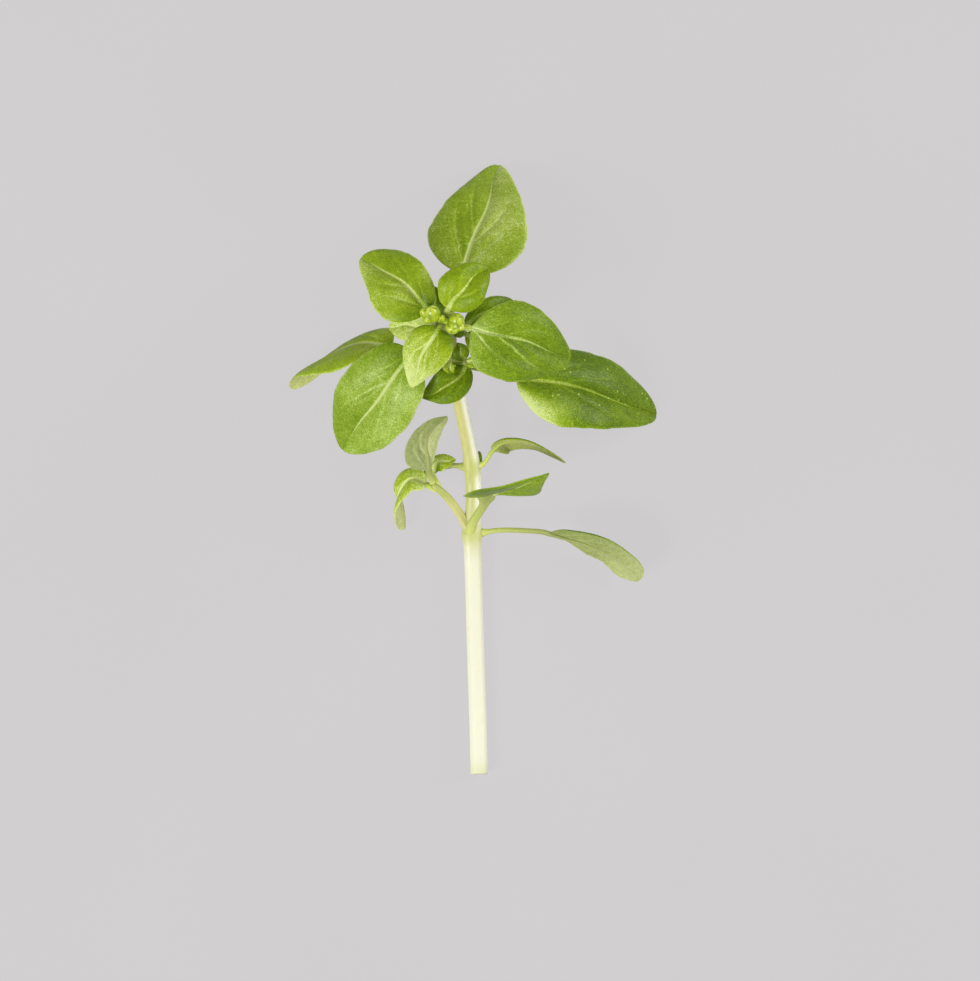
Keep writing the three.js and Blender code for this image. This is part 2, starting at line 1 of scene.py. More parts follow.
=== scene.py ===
# %% [markdown]
# A cut sprig of small-leaved basil lies on a pale table and the camera looks straight down on it.
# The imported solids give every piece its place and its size. Each one is coarse, so each is dressed
# here with a finely grown piece that fills the same space and shows veins, stalks, ribs and buds.
# The points of stems and ribs are in millimetres, in the frame that the sprig was first set out in.

# %% Load the fixed frame
import math
from dataclasses import dataclass

import bpy
import numpy as np
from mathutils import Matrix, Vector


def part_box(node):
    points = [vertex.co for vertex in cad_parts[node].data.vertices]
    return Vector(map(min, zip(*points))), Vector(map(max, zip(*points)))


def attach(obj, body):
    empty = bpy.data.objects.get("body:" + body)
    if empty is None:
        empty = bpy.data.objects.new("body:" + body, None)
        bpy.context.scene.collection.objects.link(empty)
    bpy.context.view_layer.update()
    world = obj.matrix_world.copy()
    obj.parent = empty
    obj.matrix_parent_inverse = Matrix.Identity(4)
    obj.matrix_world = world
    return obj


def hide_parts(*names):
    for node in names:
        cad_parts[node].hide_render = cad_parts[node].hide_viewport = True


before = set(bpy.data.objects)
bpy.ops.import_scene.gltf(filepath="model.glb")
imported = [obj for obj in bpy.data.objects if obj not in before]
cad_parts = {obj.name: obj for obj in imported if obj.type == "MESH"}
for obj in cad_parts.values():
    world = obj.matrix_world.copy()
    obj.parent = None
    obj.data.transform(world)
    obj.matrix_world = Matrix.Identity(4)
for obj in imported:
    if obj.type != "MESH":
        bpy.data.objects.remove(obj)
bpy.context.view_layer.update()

MM = 0.001
IMAGE_WIDTH = 980
IMAGE_HEIGHT = 981

# %% [markdown]
# A stem or a leaf's rib is a smooth curve through a few points. Blender has curve objects for
# this, but a leaf needs to know where along its rib each row of its blade sits and which way it
# faces there. So the curve is worked out with numpy: each stretch is a cubic that passes through its
# own two points and takes its slopes from their neighbours, and the whole is measured by its length.

# %% A smooth line that knows its own length
CURVE_STEPS = 80
TANGENT_REACH = 0.006
SHORTEST = 1e-12


def cubic(a, b, c, d, t):
    """The cubic from b to c, with slopes that follow from a and d. t runs from 0 to 1."""
    return (2 * b + (c - a) * t + (2 * a - 5 * b + 4 * c - d) * t**2
            + (3 * b - a - 3 * c + d) * t**3) / 2


def unit(vectors):
    vectors = np.asarray(vectors, float)
    return vectors / np.maximum(np.linalg.norm(vectors, axis=-1, keepdims=True), SHORTEST)


class SmoothLine:
    """A curve through points. share runs from 0 at its start to 1 at its end, by length."""

    def __init__(self, points):
        points = np.array(points, float)
        knots = np.vstack([2 * points[0] - points[1], points, 2 * points[-1] - points[-2]])
        t = np.linspace(0, 1, CURVE_STEPS, endpoint=False)[:, None]
        stretches = [cubic(*four, t) for four in zip(knots, knots[1:], knots[2:], knots[3:])]
        self.places = np.vstack([*stretches, points[-1:]])
        steps = np.linalg.norm(np.diff(self.places, axis=0), axis=1)
        walked = np.concatenate([[0], np.cumsum(steps)])
        self.length = walked[-1]
        self.shares = walked / self.length

    def share_of(self, index):
        return self.shares[index * CURVE_STEPS]

    def at(self, share):
        return np.stack([np.interp(share, self.shares, axis) for axis in self.places.T], -1)

    def ahead(self, share):
        later = self.at(np.minimum(share + TANGENT_REACH, 1))
        return unit(later - self.at(np.maximum(share - TANGENT_REACH, 0)))

    def frames(self, share, facing):
        """Centre, upward normal and rightward side at each share, looking along the line."""
        ahead = self.ahead(share)
        facing = facing - np.sum(facing * ahead, -1, keepdims=True) * ahead
        normal = unit(facing)
        return self.at(share), normal, np.cross(ahead, normal)


def smooth(value, low, high):
    """0 below low, 1 above high, and a soft step between."""
    t = np.clip((np.asarray(value, float) - low) / (high - low), 0, 1)
    return t * t * (3 - 2 * t)


bend = SmoothLine([(0, 0, 0), (10, 0, 0), (10, 10, 0)])
print("a smooth bend through three points 10 mm apart:", round(bend.length, 1), "mm long")

# %% [markdown]
# Basil has a square stem with rounded edges. It swells a little at each pair of leaves, and this one
# lies on the table below and rises towards its tip. A bevelled curve gives only a round tube, so the
# stem is lofted: rings with a rounded-square outline are set along the line and skinned. A row of
# its table is a point and the radius there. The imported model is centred, so everything is shifted by
# the step from the lowest corner of the table's stem to the lowest corner of the stem's solid.

# %% The main stem's line, and where the sprig sits in the frame
MAIN_STEM = [
    ((0.9, -55.5, 1.5), 1.6), ((0.6, -44, 1.5), 1.6), ((0.2, -32, 1.5), 1.6),
    ((-0.1, -21, 1.9), 1.58), ((-0.35, -14, 2.6), 1.6), ((-0.4, -11.3, 2.95), 1.95),
    ((-0.3, -8.6, 3.4), 1.5), ((-0.1, -5, 4.2), 1.42), ((-0.2, -1.5, 5.2), 1.4),
    ((-0.4, 1.2, 6.3), 1.62), ((-0.7, 3.8, 7.3), 1.38), ((-1.2, 6.6, 8.6), 1.35),
    ((-2.5, 12.7, 11.6), 1.28), ((-3.2, 16.3, 13.8), 1.25), ((-3.8, 19.3, 16), 1.45),
    ((-4.15, 21.6, 18.4), 1.2), ((-4.5, 24, 21), 1.35), ((-4.8, 25.4, 23.2), 1.1),
    ((-5, 26.7, 25.5), 1.2), ((-5.2, 28, 28.5), 0.7),
]
SIDE_SHOOT = [
    ((-0.4, -11.3, 3.2), 0.95), ((-2.6, -7.6, 4.4), 0.8), ((-5, -4.4, 5.6), 0.75),
    ((-7.6, -2.1, 6.6), 0.6),
]
STEM_SQUARENESS = 2.8
SOLID_SIDES = 12
SOLID_RINGS = 2
NEAREST_STEPS = 800


class Stem:
    """A tapering stem: its line, and its radius at each share of its length."""

    def __init__(self, table):
        self.line = SmoothLine([point for point, radius in table])
        self.marks = np.array([self.line.share_of(i) for i in range(len(table))])
        self.radii = np.array([radius for point, radius in table])

    def radius(self, share):
        return np.interp(share, self.marks, self.radii)

    def rings(self, shares, sides, swell=0.0):
        centre, normal, side = self.line.frames(shares, np.array([0.0, 0.0, 1.0]))
        angle = (np.arange(sides) + 0.5) / sides * 2 * math.pi
        corners = np.abs(np.cos(angle)) ** STEM_SQUARENESS + np.abs(np.sin(angle)) ** STEM_SQUARENESS
        reach = (self.radius(shares) + swell)[:, None] * corners ** (-1 / STEM_SQUARENESS)
        return set_rings(centre, normal, side, angle, reach)

    def skin_distance(self, points):
        """How far each point is from the stem's skin. It is negative inside."""
        shares = np.linspace(0, 1, NEAREST_STEPS)
        apart = np.linalg.norm(points[:, None] - self.line.at(shares)[None], axis=-1)
        nearest = apart.argmin(1)
        return apart.min(1) - self.radius(shares[nearest])


def set_rings(centre, normal, side, angle, reach):
    """Rings of points round each centre. reach gives a radius for each ring and angle."""
    sideways = (-np.cos(angle) * reach)[..., None] * side[:, None]
    upwards = (np.sin(angle) * reach)[..., None] * normal[:, None]
    return centre[:, None] + sideways + upwards


main_stem = Stem(MAIN_STEM)
side_shoot = Stem(SIDE_SHOOT)
steps = np.arange(len(MAIN_STEM) * SOLID_RINGS - 1) / SOLID_RINGS
solid_shares = np.interp(steps, np.arange(len(MAIN_STEM)), main_stem.marks)
solid_rings = main_stem.rings(solid_shares, SOLID_SIDES).reshape(-1, 3)
solid_rings[:, 2] = np.maximum(solid_rings[:, 2], 0)
SHIFT = np.array(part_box("main_stem")[0]) / MM - solid_rings.min(0)
print("main stem:", round(main_stem.line.length, 1), "mm long; shifted by", SHIFT.round(3), "mm")

# %% [markdown]
# The camera stands where the photograph's does: straight over the sprig, far enough away that the
# raised tip is drawn only slightly larger than the leaves that lie on the table. The lens follows
# from the picture's scale, 5.5 pixels to the millimetre at 12 mm above the table.

# %% Camera
CAMERA_OVER = (2.9, -3.2)
FOCUS_HEIGHT = 12
CAMERA_DISTANCE = 700
PIXELS_PER_MM = 5.5
SENSOR = 36


def in_scene(name, data):
    """Makes an object of a mesh, lamp or camera and links it into the scene."""
    thing = bpy.data.objects.new(name, data)
    bpy.context.scene.collection.objects.link(thing)
    return thing


camera = in_scene("camera", bpy.data.cameras.new("camera"))
bpy.context.scene.camera = camera
camera.location = (
    (CAMERA_OVER[0] + SHIFT[0]) * MM,
    (CAMERA_OVER[1] + SHIFT[1]) * MM,
    (FOCUS_HEIGHT + CAMERA_DISTANCE) * MM,
)
camera.data.sensor_width = SENSOR
camera.data.lens = SENSOR * CAMERA_DISTANCE * PIXELS_PER_MM / max(IMAGE_WIDTH, IMAGE_HEIGHT)
print("lens:", round(camera.data.lens, 1), "mm")

# %% [markdown]
# Every grown piece is one closed mesh made of grids of points, such as the two faces of a blade. The
# points carry marks: numbers that say how near a vein, the margin or the stem they are. A mark is
# stored as an attribute, and the finishes read it. A painted image could say the same, but
# an attribute needs no unwrapping and stays sharp at any scale.

# %% Gather grids into a piece
MARKS = ("along", "rib_apart", "vein_count", "vein_pitch", "vein_show", "rim", "tone", "young",
         "gland", "knot", "cut", "crease")


def skin(number):
    """The faces between closed rings of point numbers."""
    ahead = np.roll(number, -1, 1)
    return np.stack([number[:-1], ahead[:-1], ahead[1:], number[1:]], -1).reshape(-1, 4).tolist()


class Growth:
    """Points, faces and marks of one piece, added part by part."""

    def __init__(self):
        self.points, self.faces, self.kinds = [], [], []
        self.marks = {mark: [] for mark in MARKS}
        self.count = 0

    def add(self, points, faces, kind, **marks):
        points = np.asarray(points, float).reshape(-1, 3)
        self.points.append(points)
        self.faces += [[self.count + corner for corner in face] for face in faces]
        self.kinds += [kind] * len(faces) if isinstance(kind, str) else kind
        for mark in MARKS:
            values = np.broadcast_to(marks.get(mark, 0.0), len(points))
            self.marks[mark].append(values)
        self.count += len(points)

    def add_tube(self, rings, kind, **marks):
        """Skins rings of points and closes both ends. A mark is one value or a column of them."""
        shape = rings.shape[:2]
        number = np.arange(math.prod(shape)).reshape(shape)
        faces = [*skin(number), number[0, ::-1].tolist(), number[-1].tolist()]
        spread = {mark: np.broadcast_to(value, shape).ravel() for mark, value in marks.items()}
        self.add(rings, faces, kind, **spread)

    def piece(self, name, node, finishes):
        """Makes the mesh object, rides it on the frame and lets it stand for its solid."""
        mesh = bpy.data.meshes.new(name)
        points = (np.vstack(self.points) + SHIFT) * MM
        mesh.from_pydata(points.tolist(), [], self.faces)
        for mark, values in self.marks.items():
            values = np.concatenate(values)
            if values.any():
                layer = mesh.attributes.new(mark, "FLOAT", "POINT")
                layer.data.foreach_set("value", values.astype(np.float32))
        kinds = sorted(set(self.kinds))
        for kind in kinds:
            mesh.materials.append(finishes[kind])
        mesh.polygons.foreach_set("material_index", [kinds.index(kind) for kind in self.kinds])
        mesh.shade_smooth()
        thing = in_scene(name, mesh)
        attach(thing, "root")
        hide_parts(node)
        print(name, "faces:", len(self.faces), "finishes:", ", ".join(kinds))


print("marks that a point can carry:", len(MARKS))

# %% [markdown]
# A finish is a tree of shader nodes. Written node by node it hides what it says, so a small class
# wraps a socket and lets plain arithmetic add the Math nodes: 1 - vein * 0.5 reads as it is meant.

# %% Shader maths as plain Python
class Wire:
    """One output socket of a finish. Arithmetic on it adds Math nodes."""

    def __init__(self, finish, socket):
        self.finish, self.socket = finish, socket

    def __add__(self, other):
        return self.finish.maths("ADD", self, other)

    def __sub__(self, other):
        return self.finish.maths("SUBTRACT", self, other)

    def __rsub__(self, other):
        return self.finish.maths("SUBTRACT", other, self)

    def __mul__(self, other):
        return self.finish.maths("MULTIPLY", self, other)

    __radd__ = __add__
    __rmul__ = __mul__


def hue(red, green, blue):
    """A colour as a screen shows it, 0 to 255, as the light that nodes use, by the screen's curve."""
    share = np.array([red, green, blue]) / 255
    light = np.where(share <= 0.04045, share / 12.92, ((share + 0.055) / 1.055) ** 2.4)
    return (*(float(value) for value in light), 1.0)


print("a mid green as light:", [round(value, 3) for value in hue(127, 155, 26)[:3]])

# %% [markdown]
# Every finish here is one Principled surface, which covers leaf, stem and bud alike. Its nodes come
# from one method, and the others are short names for what is used again and again: a mark, a soft
# noise, a ramp of colours, a bump. Colours go through Mix nodes. A leaf's rib and side veins are drawn
# here too, from the marks that the blade carries, because both of its faces show them.

# %% A finish and its nodes
FLESH_DEPTH = (0.6, 1.0, 0.15)
RIB_RUNS_OUT = 1.12
RIB_CORE = 0.35
RIB_FADES = (0.6, 0.95)
WANDER_SIZE = 2.5
WANDER = 0.3


class Finish:
    """A material with one Principled surface. Its methods add nodes and return their outputs."""

    def __init__(self, name):
        self.material = bpy.data.materials.new(name)
        self.material.use_nodes = True
        self.tree = self.material.node_tree
        self.tree.nodes.clear()
        self.surface = self.tree.nodes.new("ShaderNodeBsdfPrincipled")
        output = self.tree.nodes.new("ShaderNodeOutputMaterial")
        self.tree.links.new(self.surface.outputs[0], output.inputs[0])
        self.place = self.node("ShaderNodeTexCoord", out="Object")

    def put(self, node, sockets):
        for name, value in sockets.items():
            if isinstance(value, Wire):
                self.tree.links.new(value.socket, node.inputs[name])
            else:
                node.inputs[name].default_value = value

    def node(self, kind, settings=None, sockets=None, out=0):
        """Adds a node: its settings first, then its sockets. Returns one of its outputs."""
        node = self.tree.nodes.new(kind)
        for name, value in (settings or {}).items():
            if name == "stops":
                elements = node.color_ramp.elements
                while len(elements) < len(value):
                    elements.new(1.0)
                for element, (position, colour) in zip(elements, value):
                    element.position, element.color = position, colour
            else:
                setattr(node, name, value)
        self.put(node, sockets or {})
        return Wire(self, node.outputs[out])

    def maths(self, operation, *values):
        return self.node("ShaderNodeMath", {"operation": operation}, dict(enumerate(values)))

    def mark(self, name):
        return self.node("ShaderNodeAttribute", {"attribute_name": name}, out="Fac")

    def noise(self, size, detail=2.0, stretch=(1, 1, 1), roughness=0.5):
        """Soft random values from 0 to 1. size is the width of a patch, in millimetres."""
        where = self.node("ShaderNodeVectorMath", {"operation": "MULTIPLY"},
                          {0: self.place, 1: stretch})
        return self.node("ShaderNodeTexNoise", {}, {
            "Vector": where, "Scale": 1 / (size * MM), "Detail": detail, "Roughness": roughness})

    def band(self, value, low, high):
        return self.node("ShaderNodeMapRange", {"interpolation_type": "SMOOTHSTEP"},
                         {"Value": value, "From Min": low, "From Max": high})

    def ramp(self, value, stops):
        return self.node("ShaderNodeValToRGB", {"stops": stops}, {0: value})

    def mix(self, factor, first, second):
        return self.node("ShaderNodeMix", {"data_type": "RGBA"}, {0: factor, 6: first, 7: second},
                         out=2)

    def cells(self, size, feature="F1"):
        """Distance to the middle or the edge of cells that are about size millimetres wide."""
        return self.node("ShaderNodeTexVoronoi", {"feature": feature},
                         {"Vector": self.place, "Scale": 1 / (size * MM)}, out="Distance")

    def rib(self, width):
        """1 on the middle rib and 0 beside it. It narrows from width millimetres and fades out."""
        along = self.mark("along")
        reach = (RIB_RUNS_OUT - along) * width
        return (1 - self.band(self.mark("rib_apart"), reach * RIB_CORE, reach)) * (
            1 - self.band(along, *RIB_FADES))

    def side_veins(self, width):
        """1 on a side vein and 0 between. vein_count is a whole number on each vein."""
        wander = (self.noise(WANDER_SIZE, 1.0) - 0.5) * WANDER
        apart = self.maths("PINGPONG", self.mark("vein_count") + wander, 0.5)
        apart = apart * self.mark("vein_pitch")
        return (1 - self.band(apart, 0.0, width)) * self.mark("vein_show")

    def bump(self, height, strength, depth):
        """Bumps the surface by height. depth is in millimetres."""
        return self.node("ShaderNodeBump", {}, {
            "Strength": strength, "Distance": depth * MM, "Height": height})

    def done(self, sockets, flesh=0, depth=FLESH_DEPTH):
        """Sets the surface. flesh is the share of light that sinks in, and depth how far, in mm."""
        self.put(self.surface, sockets)
        if flesh:
            self.put(self.surface, {"Subsurface Weight": flesh, "Subsurface Radius": depth,
                                    "Subsurface Scale": MM})
        print(self.material.name, "nodes:", len(self.tree.nodes))
        return self.material


print("light sinks into a leaf by up to", max(FLESH_DEPTH), "mm")

# %% [markdown]
# The upper face of a basil leaf is bright yellow-green with darker, finely speckled fields between
# pale veins, and small round oil glands show as lighter dots, lightened further as painted glints. A
# mark gives each half of a leaf its own depth of green, which holds painted shade and painted light
# as well as the leaf's own green, and the margin is lightened as a painted highlight. Everything that
# changes the green, from veins to speckle, is added up to one number first, and a colour ramp turns
# that number into the leaf's colour. The flesh lets light through, which subsurface scattering gives.

# %% Finish of a leaf's upper face
VEIN_CELL = 0.75
SMALL_GLANDS = 1.05
LARGE_GLANDS = 1.6


def upper_face():
    f = Finish("leaf_upper_face")
    vein = f.maths("MAXIMUM", f.rib(0.64) * 1.35, f.side_veins(0.42) * 0.6)
    fields = f.noise(6.0, 1.0)
    patches = f.noise(2.6, 3.0)
    mottle = f.noise(0.9, 3.0, roughness=0.6)
    speckle = f.noise(0.22, 2.0)
    net = 1 - f.band(f.cells(VEIN_CELL, "DISTANCE_TO_EDGE"), 0.0, 0.16)
    small = 1 - f.band(f.cells(SMALL_GLANDS), 0.07, 0.17)
    large = 1 - f.band(f.cells(LARGE_GLANDS), 0.08, 0.16)
    # The glands' dots are real, and they are lightened further as painted glints.
    gland = (small * 0.8 + large * 1.3) * f.mark("gland")
    # The margin is lightened as a painted highlight.
    depth = (f.mark("tone") + (fields - 0.5) * 0.4 + (patches - 0.5) * 0.26
             + (mottle - 0.5) * 0.42 + (speckle - 0.5) * 1.05 - net * 0.06 - gland * 0.4
             - vein * 0.4 - f.mark("rim") * 0.3)
    green = f.ramp(depth, [
        (0.0, hue(200, 216, 136)), (0.28, hue(162, 187, 80)), (0.55, hue(127, 155, 26)),
        (0.8, hue(104, 132, 12)), (1.0, hue(76, 104, 6))])
    fresh = f.ramp(depth, [
        (0.0, hue(211, 225, 138)), (0.35, hue(156, 179, 18)), (0.7, hue(126, 152, 6)),
        (1.0, hue(94, 122, 2))])
    height = mottle * 0.5 + speckle * 0.25 - net * 0.35 + gland * 0.3 - vein * 0.8
    return f.done({
        "Base Color": f.mix(f.mark("young"), green, fresh),
        "Roughness": 0.38 + (mottle - 0.5) * 0.2 + vein * 0.08,
        "Normal": f.bump(height, 0.45, 0.12),
        "Specular IOR Level": 0.2,
    }, flesh=0.12)


FINISHES = {"upper": upper_face()}

# %% [markdown]
# The back of the leaf is duller and greyer, and its veins stand out paler. Its depth holds painted
# shade as well as its own grey-green, and its margin gets a faint painted highlight. It is a finish
# of its own, built the same way, so the two faces of one blade can be told apart from any side.

# %% Finish of a leaf's back
def back_face():
    f = Finish("leaf_back_face")
    vein = f.maths("MAXIMUM", f.rib(0.7) * 0.5, f.side_veins(0.4) * 0.45)
    mottle = f.noise(0.8, 3.0, roughness=0.6)
    speckle = f.noise(0.2, 2.0)
    net = 1 - f.band(f.cells(VEIN_CELL, "DISTANCE_TO_EDGE"), 0.0, 0.2)
    # The margin is lightened as a faint painted highlight.
    depth = (f.mark("tone") + (mottle - 0.5) * 0.6 + (speckle - 0.5) * 0.5 - net * 0.1
             - vein * 0.5 - f.mark("rim") * 0.15)
    grey = f.ramp(depth, [
        (0.0, hue(214, 218, 172)), (0.45, hue(184, 191, 132)), (1.0, hue(140, 152, 88))])
    fresh = f.ramp(depth, [
        (0.0, hue(214, 220, 158)), (0.45, hue(192, 198, 124)), (1.0, hue(142, 156, 50))])
    height = mottle * 0.4 + speckle * 0.3 + net * 0.4 + vein * 1.2
    return f.done({
        "Base Color": f.mix(f.mark("young"), grey, fresh),
        "Roughness": 0.6 + (mottle - 0.5) * 0.15,
        "Normal": f.bump(height, 0.4, 0.1),
        "Specular IOR Level": 0.25,
    }, flesh=0.12)


FINISHES["back"] = back_face()

# %% [markdown]
# A stalk is pale yellow-green where it leaves the stem, deepens half way, and turns into the grey
# colour of the leaf's back as it becomes the raised rib. The mark that runs along the stalk drives
# that change. Young leaves have brighter stalks, so a second ramp is mixed in by the young mark.

# %% Finish of stalks and ribs
def stalk_skin():
    f = Finish("stalk_skin")
    along, young = f.mark("along"), f.mark("young")
    streaks = f.noise(0.35, 2.0)
    place = along + (streaks - 0.5) * 0.2
    pale = f.ramp(place, [
        (0.0, hue(206, 212, 116)), (0.15, hue(178, 187, 100)), (0.35, hue(151, 160, 90)),
        (1.0, hue(174, 182, 118))])
    bright = f.ramp(place, [
        (0.0, hue(220, 225, 128)), (0.35, hue(178, 196, 84)), (1.0, hue(182, 193, 112))])
    return f.done({
        "Base Color": f.mix(young, pale, bright),
        "Roughness": 0.45 + (streaks - 0.5) * 0.2,
        "Normal": f.bump(streaks, 0.3, 0.08),
        "Specular IOR Level": 0.4,
    }, flesh=0.2)


FINISHES["stalk"] = stalk_skin()

# %% [markdown]
# The stem is nearly white where it grew in shade, and turns yellow-green towards the tip and at
# each node. One side of its upper half is lightened almost to white as a painted highlight, which the
# young mark says here, and near the cut end it is darkened as painted shade. Fine streaks run along
# it, so the noise is stretched along Y. The cut end shows a white pith inside a green ring.

# %% Finish of the stems
PITH_DEPTH = (1.2, 1.1, 0.5)


def stem_skin():
    f = Finish("stem_skin")
    along, knot, cut = f.mark("along"), f.mark("knot"), f.mark("cut")
    streaks = f.noise(0.4, 3.0, stretch=(1, 0.08, 0.6))
    patches = f.noise(5.0, 2.0, stretch=(1, 0.4, 1))
    colour = f.ramp(along + (streaks - 0.5) * 0.08 + (patches - 0.5) * 0.08, [
        (0.0, hue(233, 233, 211)), (0.42, hue(229, 229, 203)), (0.53, hue(192, 194, 116)),
        (0.75, hue(202, 198, 118)), (0.85, hue(172, 181, 80)), (1.0, hue(128, 152, 34))])
    # A painted highlight: one side of the upper stem is lightened almost to white.
    painted_lit_side = f.mark("young") * f.band(along, 0.4, 0.6) * (1 - f.band(along, 0.76, 0.84))
    colour = f.mix(painted_lit_side, colour, hue(252, 251, 236))
    # This mix greens each node, and near the cut end it darkens the stem as painted shade.
    colour = f.mix(knot * 0.8, colour, hue(190, 196, 98))
    colour = f.mix((streaks - 0.35) * 0.5, colour, hue(232, 232, 200))
    pith = f.ramp(cut, [(0.0, hue(176, 190, 110)), (0.3, hue(196, 204, 130)),
                        (0.45, hue(226, 228, 190)), (1.0, hue(238, 238, 214))])
    return f.done({
        "Base Color": f.mix(f.band(cut, 0.02, 0.06), colour, pith),
        "Roughness": 0.42 + (streaks - 0.5) * 0.25,
        "Normal": f.bump(streaks, 0.35, 0.12),
        "Specular IOR Level": 0.4,
    }, flesh=0.25, depth=PITH_DEPTH)


FINISHES["stem"] = stem_skin()

# %% [markdown]
# The flower buds at the tip are smooth, tight and glossy. They are yellow-green, with a painted
# highlight on each blunt tip and painted shade in the creases between their scales, so each one shows
# as a small bright dome.

# %% Finish of the buds
def bud_skin():
    f = Finish("bud_skin")
    speckle = f.noise(0.25, 2.0)
    mottle = f.noise(0.9, 2.0)
    # The creases are darkened as painted shade, and the tip is lightened as a painted highlight.
    depth = (0.56 + f.mark("crease") * 0.2 + (speckle - 0.5) * 0.3 + (mottle - 0.5) * 0.8
             - f.mark("rim") * 0.26)
    return f.done({
        "Base Color": f.ramp(depth, [
            (0.0, hue(228, 234, 140)), (0.35, hue(186, 204, 44)), (0.7, hue(140, 166, 8)),
            (1.0, hue(92, 120, 4))]),
        "Roughness": 0.27 + (mottle - 0.5) * 0.15,
        "Normal": f.bump(speckle, 0.2, 0.05),
        "Specular IOR Level": 0.7,
    }, flesh=0.15)


FINISHES["bud"] = bud_skin()

# %% [markdown]
# A bud is an oval that narrows to a blunt tip. Scales wrap it, so its outline dips in a little
# between them. A sphere with a modifier would be round, so the oval is lofted from rings whose radius
# falls in at each crease.

# %% Grow a bud
BUD_RINGS = 22
BUD_SIDES = 32
BUD_OPENING = 0.03
BUD_TWIST = 0.5
BUD_TAPER = 0.12
CREASE_DEPTH = 0.02
CREASE_SHARPNESS = 6
CREASE_FROM = (0.25, 0.75)
TIP_HIGHLIGHT_FROM = (0.6, 1)
CROSSWAYS = (0.31, 0.95, 0.12)
FAR_FROM_RIB = 9


def add_bud(growth, at, towards, long, thick, scales=3, kind="bud"):
    """Adds an oval round at. long and thick are half its length and half its width."""
    axis = unit(towards)
    aside = unit(np.cross(axis, CROSSWAYS))
    across = np.cross(axis, aside)
    turn = np.linspace(BUD_OPENING, 1, BUD_RINGS)[:, None] * math.pi
    t = (1 - np.cos(turn)) / 2
    angle = np.arange(BUD_SIDES) / BUD_SIDES * 2 * math.pi
    dip = (0.5 + 0.5 * np.cos(scales * (angle + BUD_TWIST * t))) ** CREASE_SHARPNESS
    dip = dip * smooth(t, *CREASE_FROM)
    reach = thick * np.sin(turn) * (1 + BUD_TAPER * np.cos(turn)) * (1 - CREASE_DEPTH * dip)
    rings = (np.array(at) - long * np.cos(turn)[..., None] * axis
             + (np.cos(angle) * reach)[..., None] * aside
             + (np.sin(angle) * reach)[..., None] * across)
    number = np.arange(dip.size).reshape(dip.shape)
    end = int(number[-1, 0])
    faces = skin(number[:-1])
    faces += [[a, b, end] for a, b in zip(number[-2].tolist(), np.roll(number[-2], -1).tolist())]
    faces.append(number[0, ::-1].tolist())
    # A painted highlight on the blunt tip of each bud.
    tip_highlight = smooth(t, *TIP_HIGHLIGHT_FROM) * (1 - dip) * (kind == "bud")
    growth.add(rings.reshape(-1, 3)[:end + 1], faces, kind, crease=dip.ravel()[:end + 1],
               rim=tip_highlight.ravel()[:end + 1], tone=0.6, young=0.4, along=0.5, rib_apart=FAR_FROM_RIB)


print("points of a bud:", (BUD_RINGS - 1) * BUD_SIDES + 1)

# %% [markdown]
# The two halves of a real leaf are seldom alike, so the outline is a smooth curve through seven half
# widths on each side of the rib. The smallest leaves are near enough to ovals to need one width each.

# %% A leaf's outline
OVAL_SHARES = (0.42, 0.76, 0.98, 0.98, 0.8, 0.52, 0.22)


def oval(half):
    return [half * share for share in OVAL_SHARES]


def width_at(u, widths):
    """A smooth curve through the widths. It shrinks to nothing at both ends of the blade."""
    knots = np.array([-widths[0], 0, *widths, 0, -widths[-1]], float)
    place = np.arccos(np.clip(1 - 2 * u, -1, 1)) / math.pi * (len(widths) + 1)
    step = np.minimum(place.astype(int), len(widths))
    return cubic(*(knots[step + k] for k in range(4)), place - step)


print("half widths of an oval of 6 mm:", [round(width, 1) for width in oval(6)])

# %% [markdown]
# A leaf is a thin blade on a stalk. It takes many numbers to say one, so a class names them, and most
# leaves leave most of them at their usual values. A living rib wanders a little and a real margin is
# slightly ragged, which sums of sines give the same way every time. In the sums from here on, u runs
# from 0 at the blade's base to 1 at its tip, and v from -1 at the left margin to 1 at the right one.

# %% What a leaf is
RIB_SWAY = 0.3
RIB_WAVES = 1.3
RAGGED = ((0.012, 3.3), (0.007, 7.4), (0.004, 12.7))
RAGGED_STAGGER = 0.4


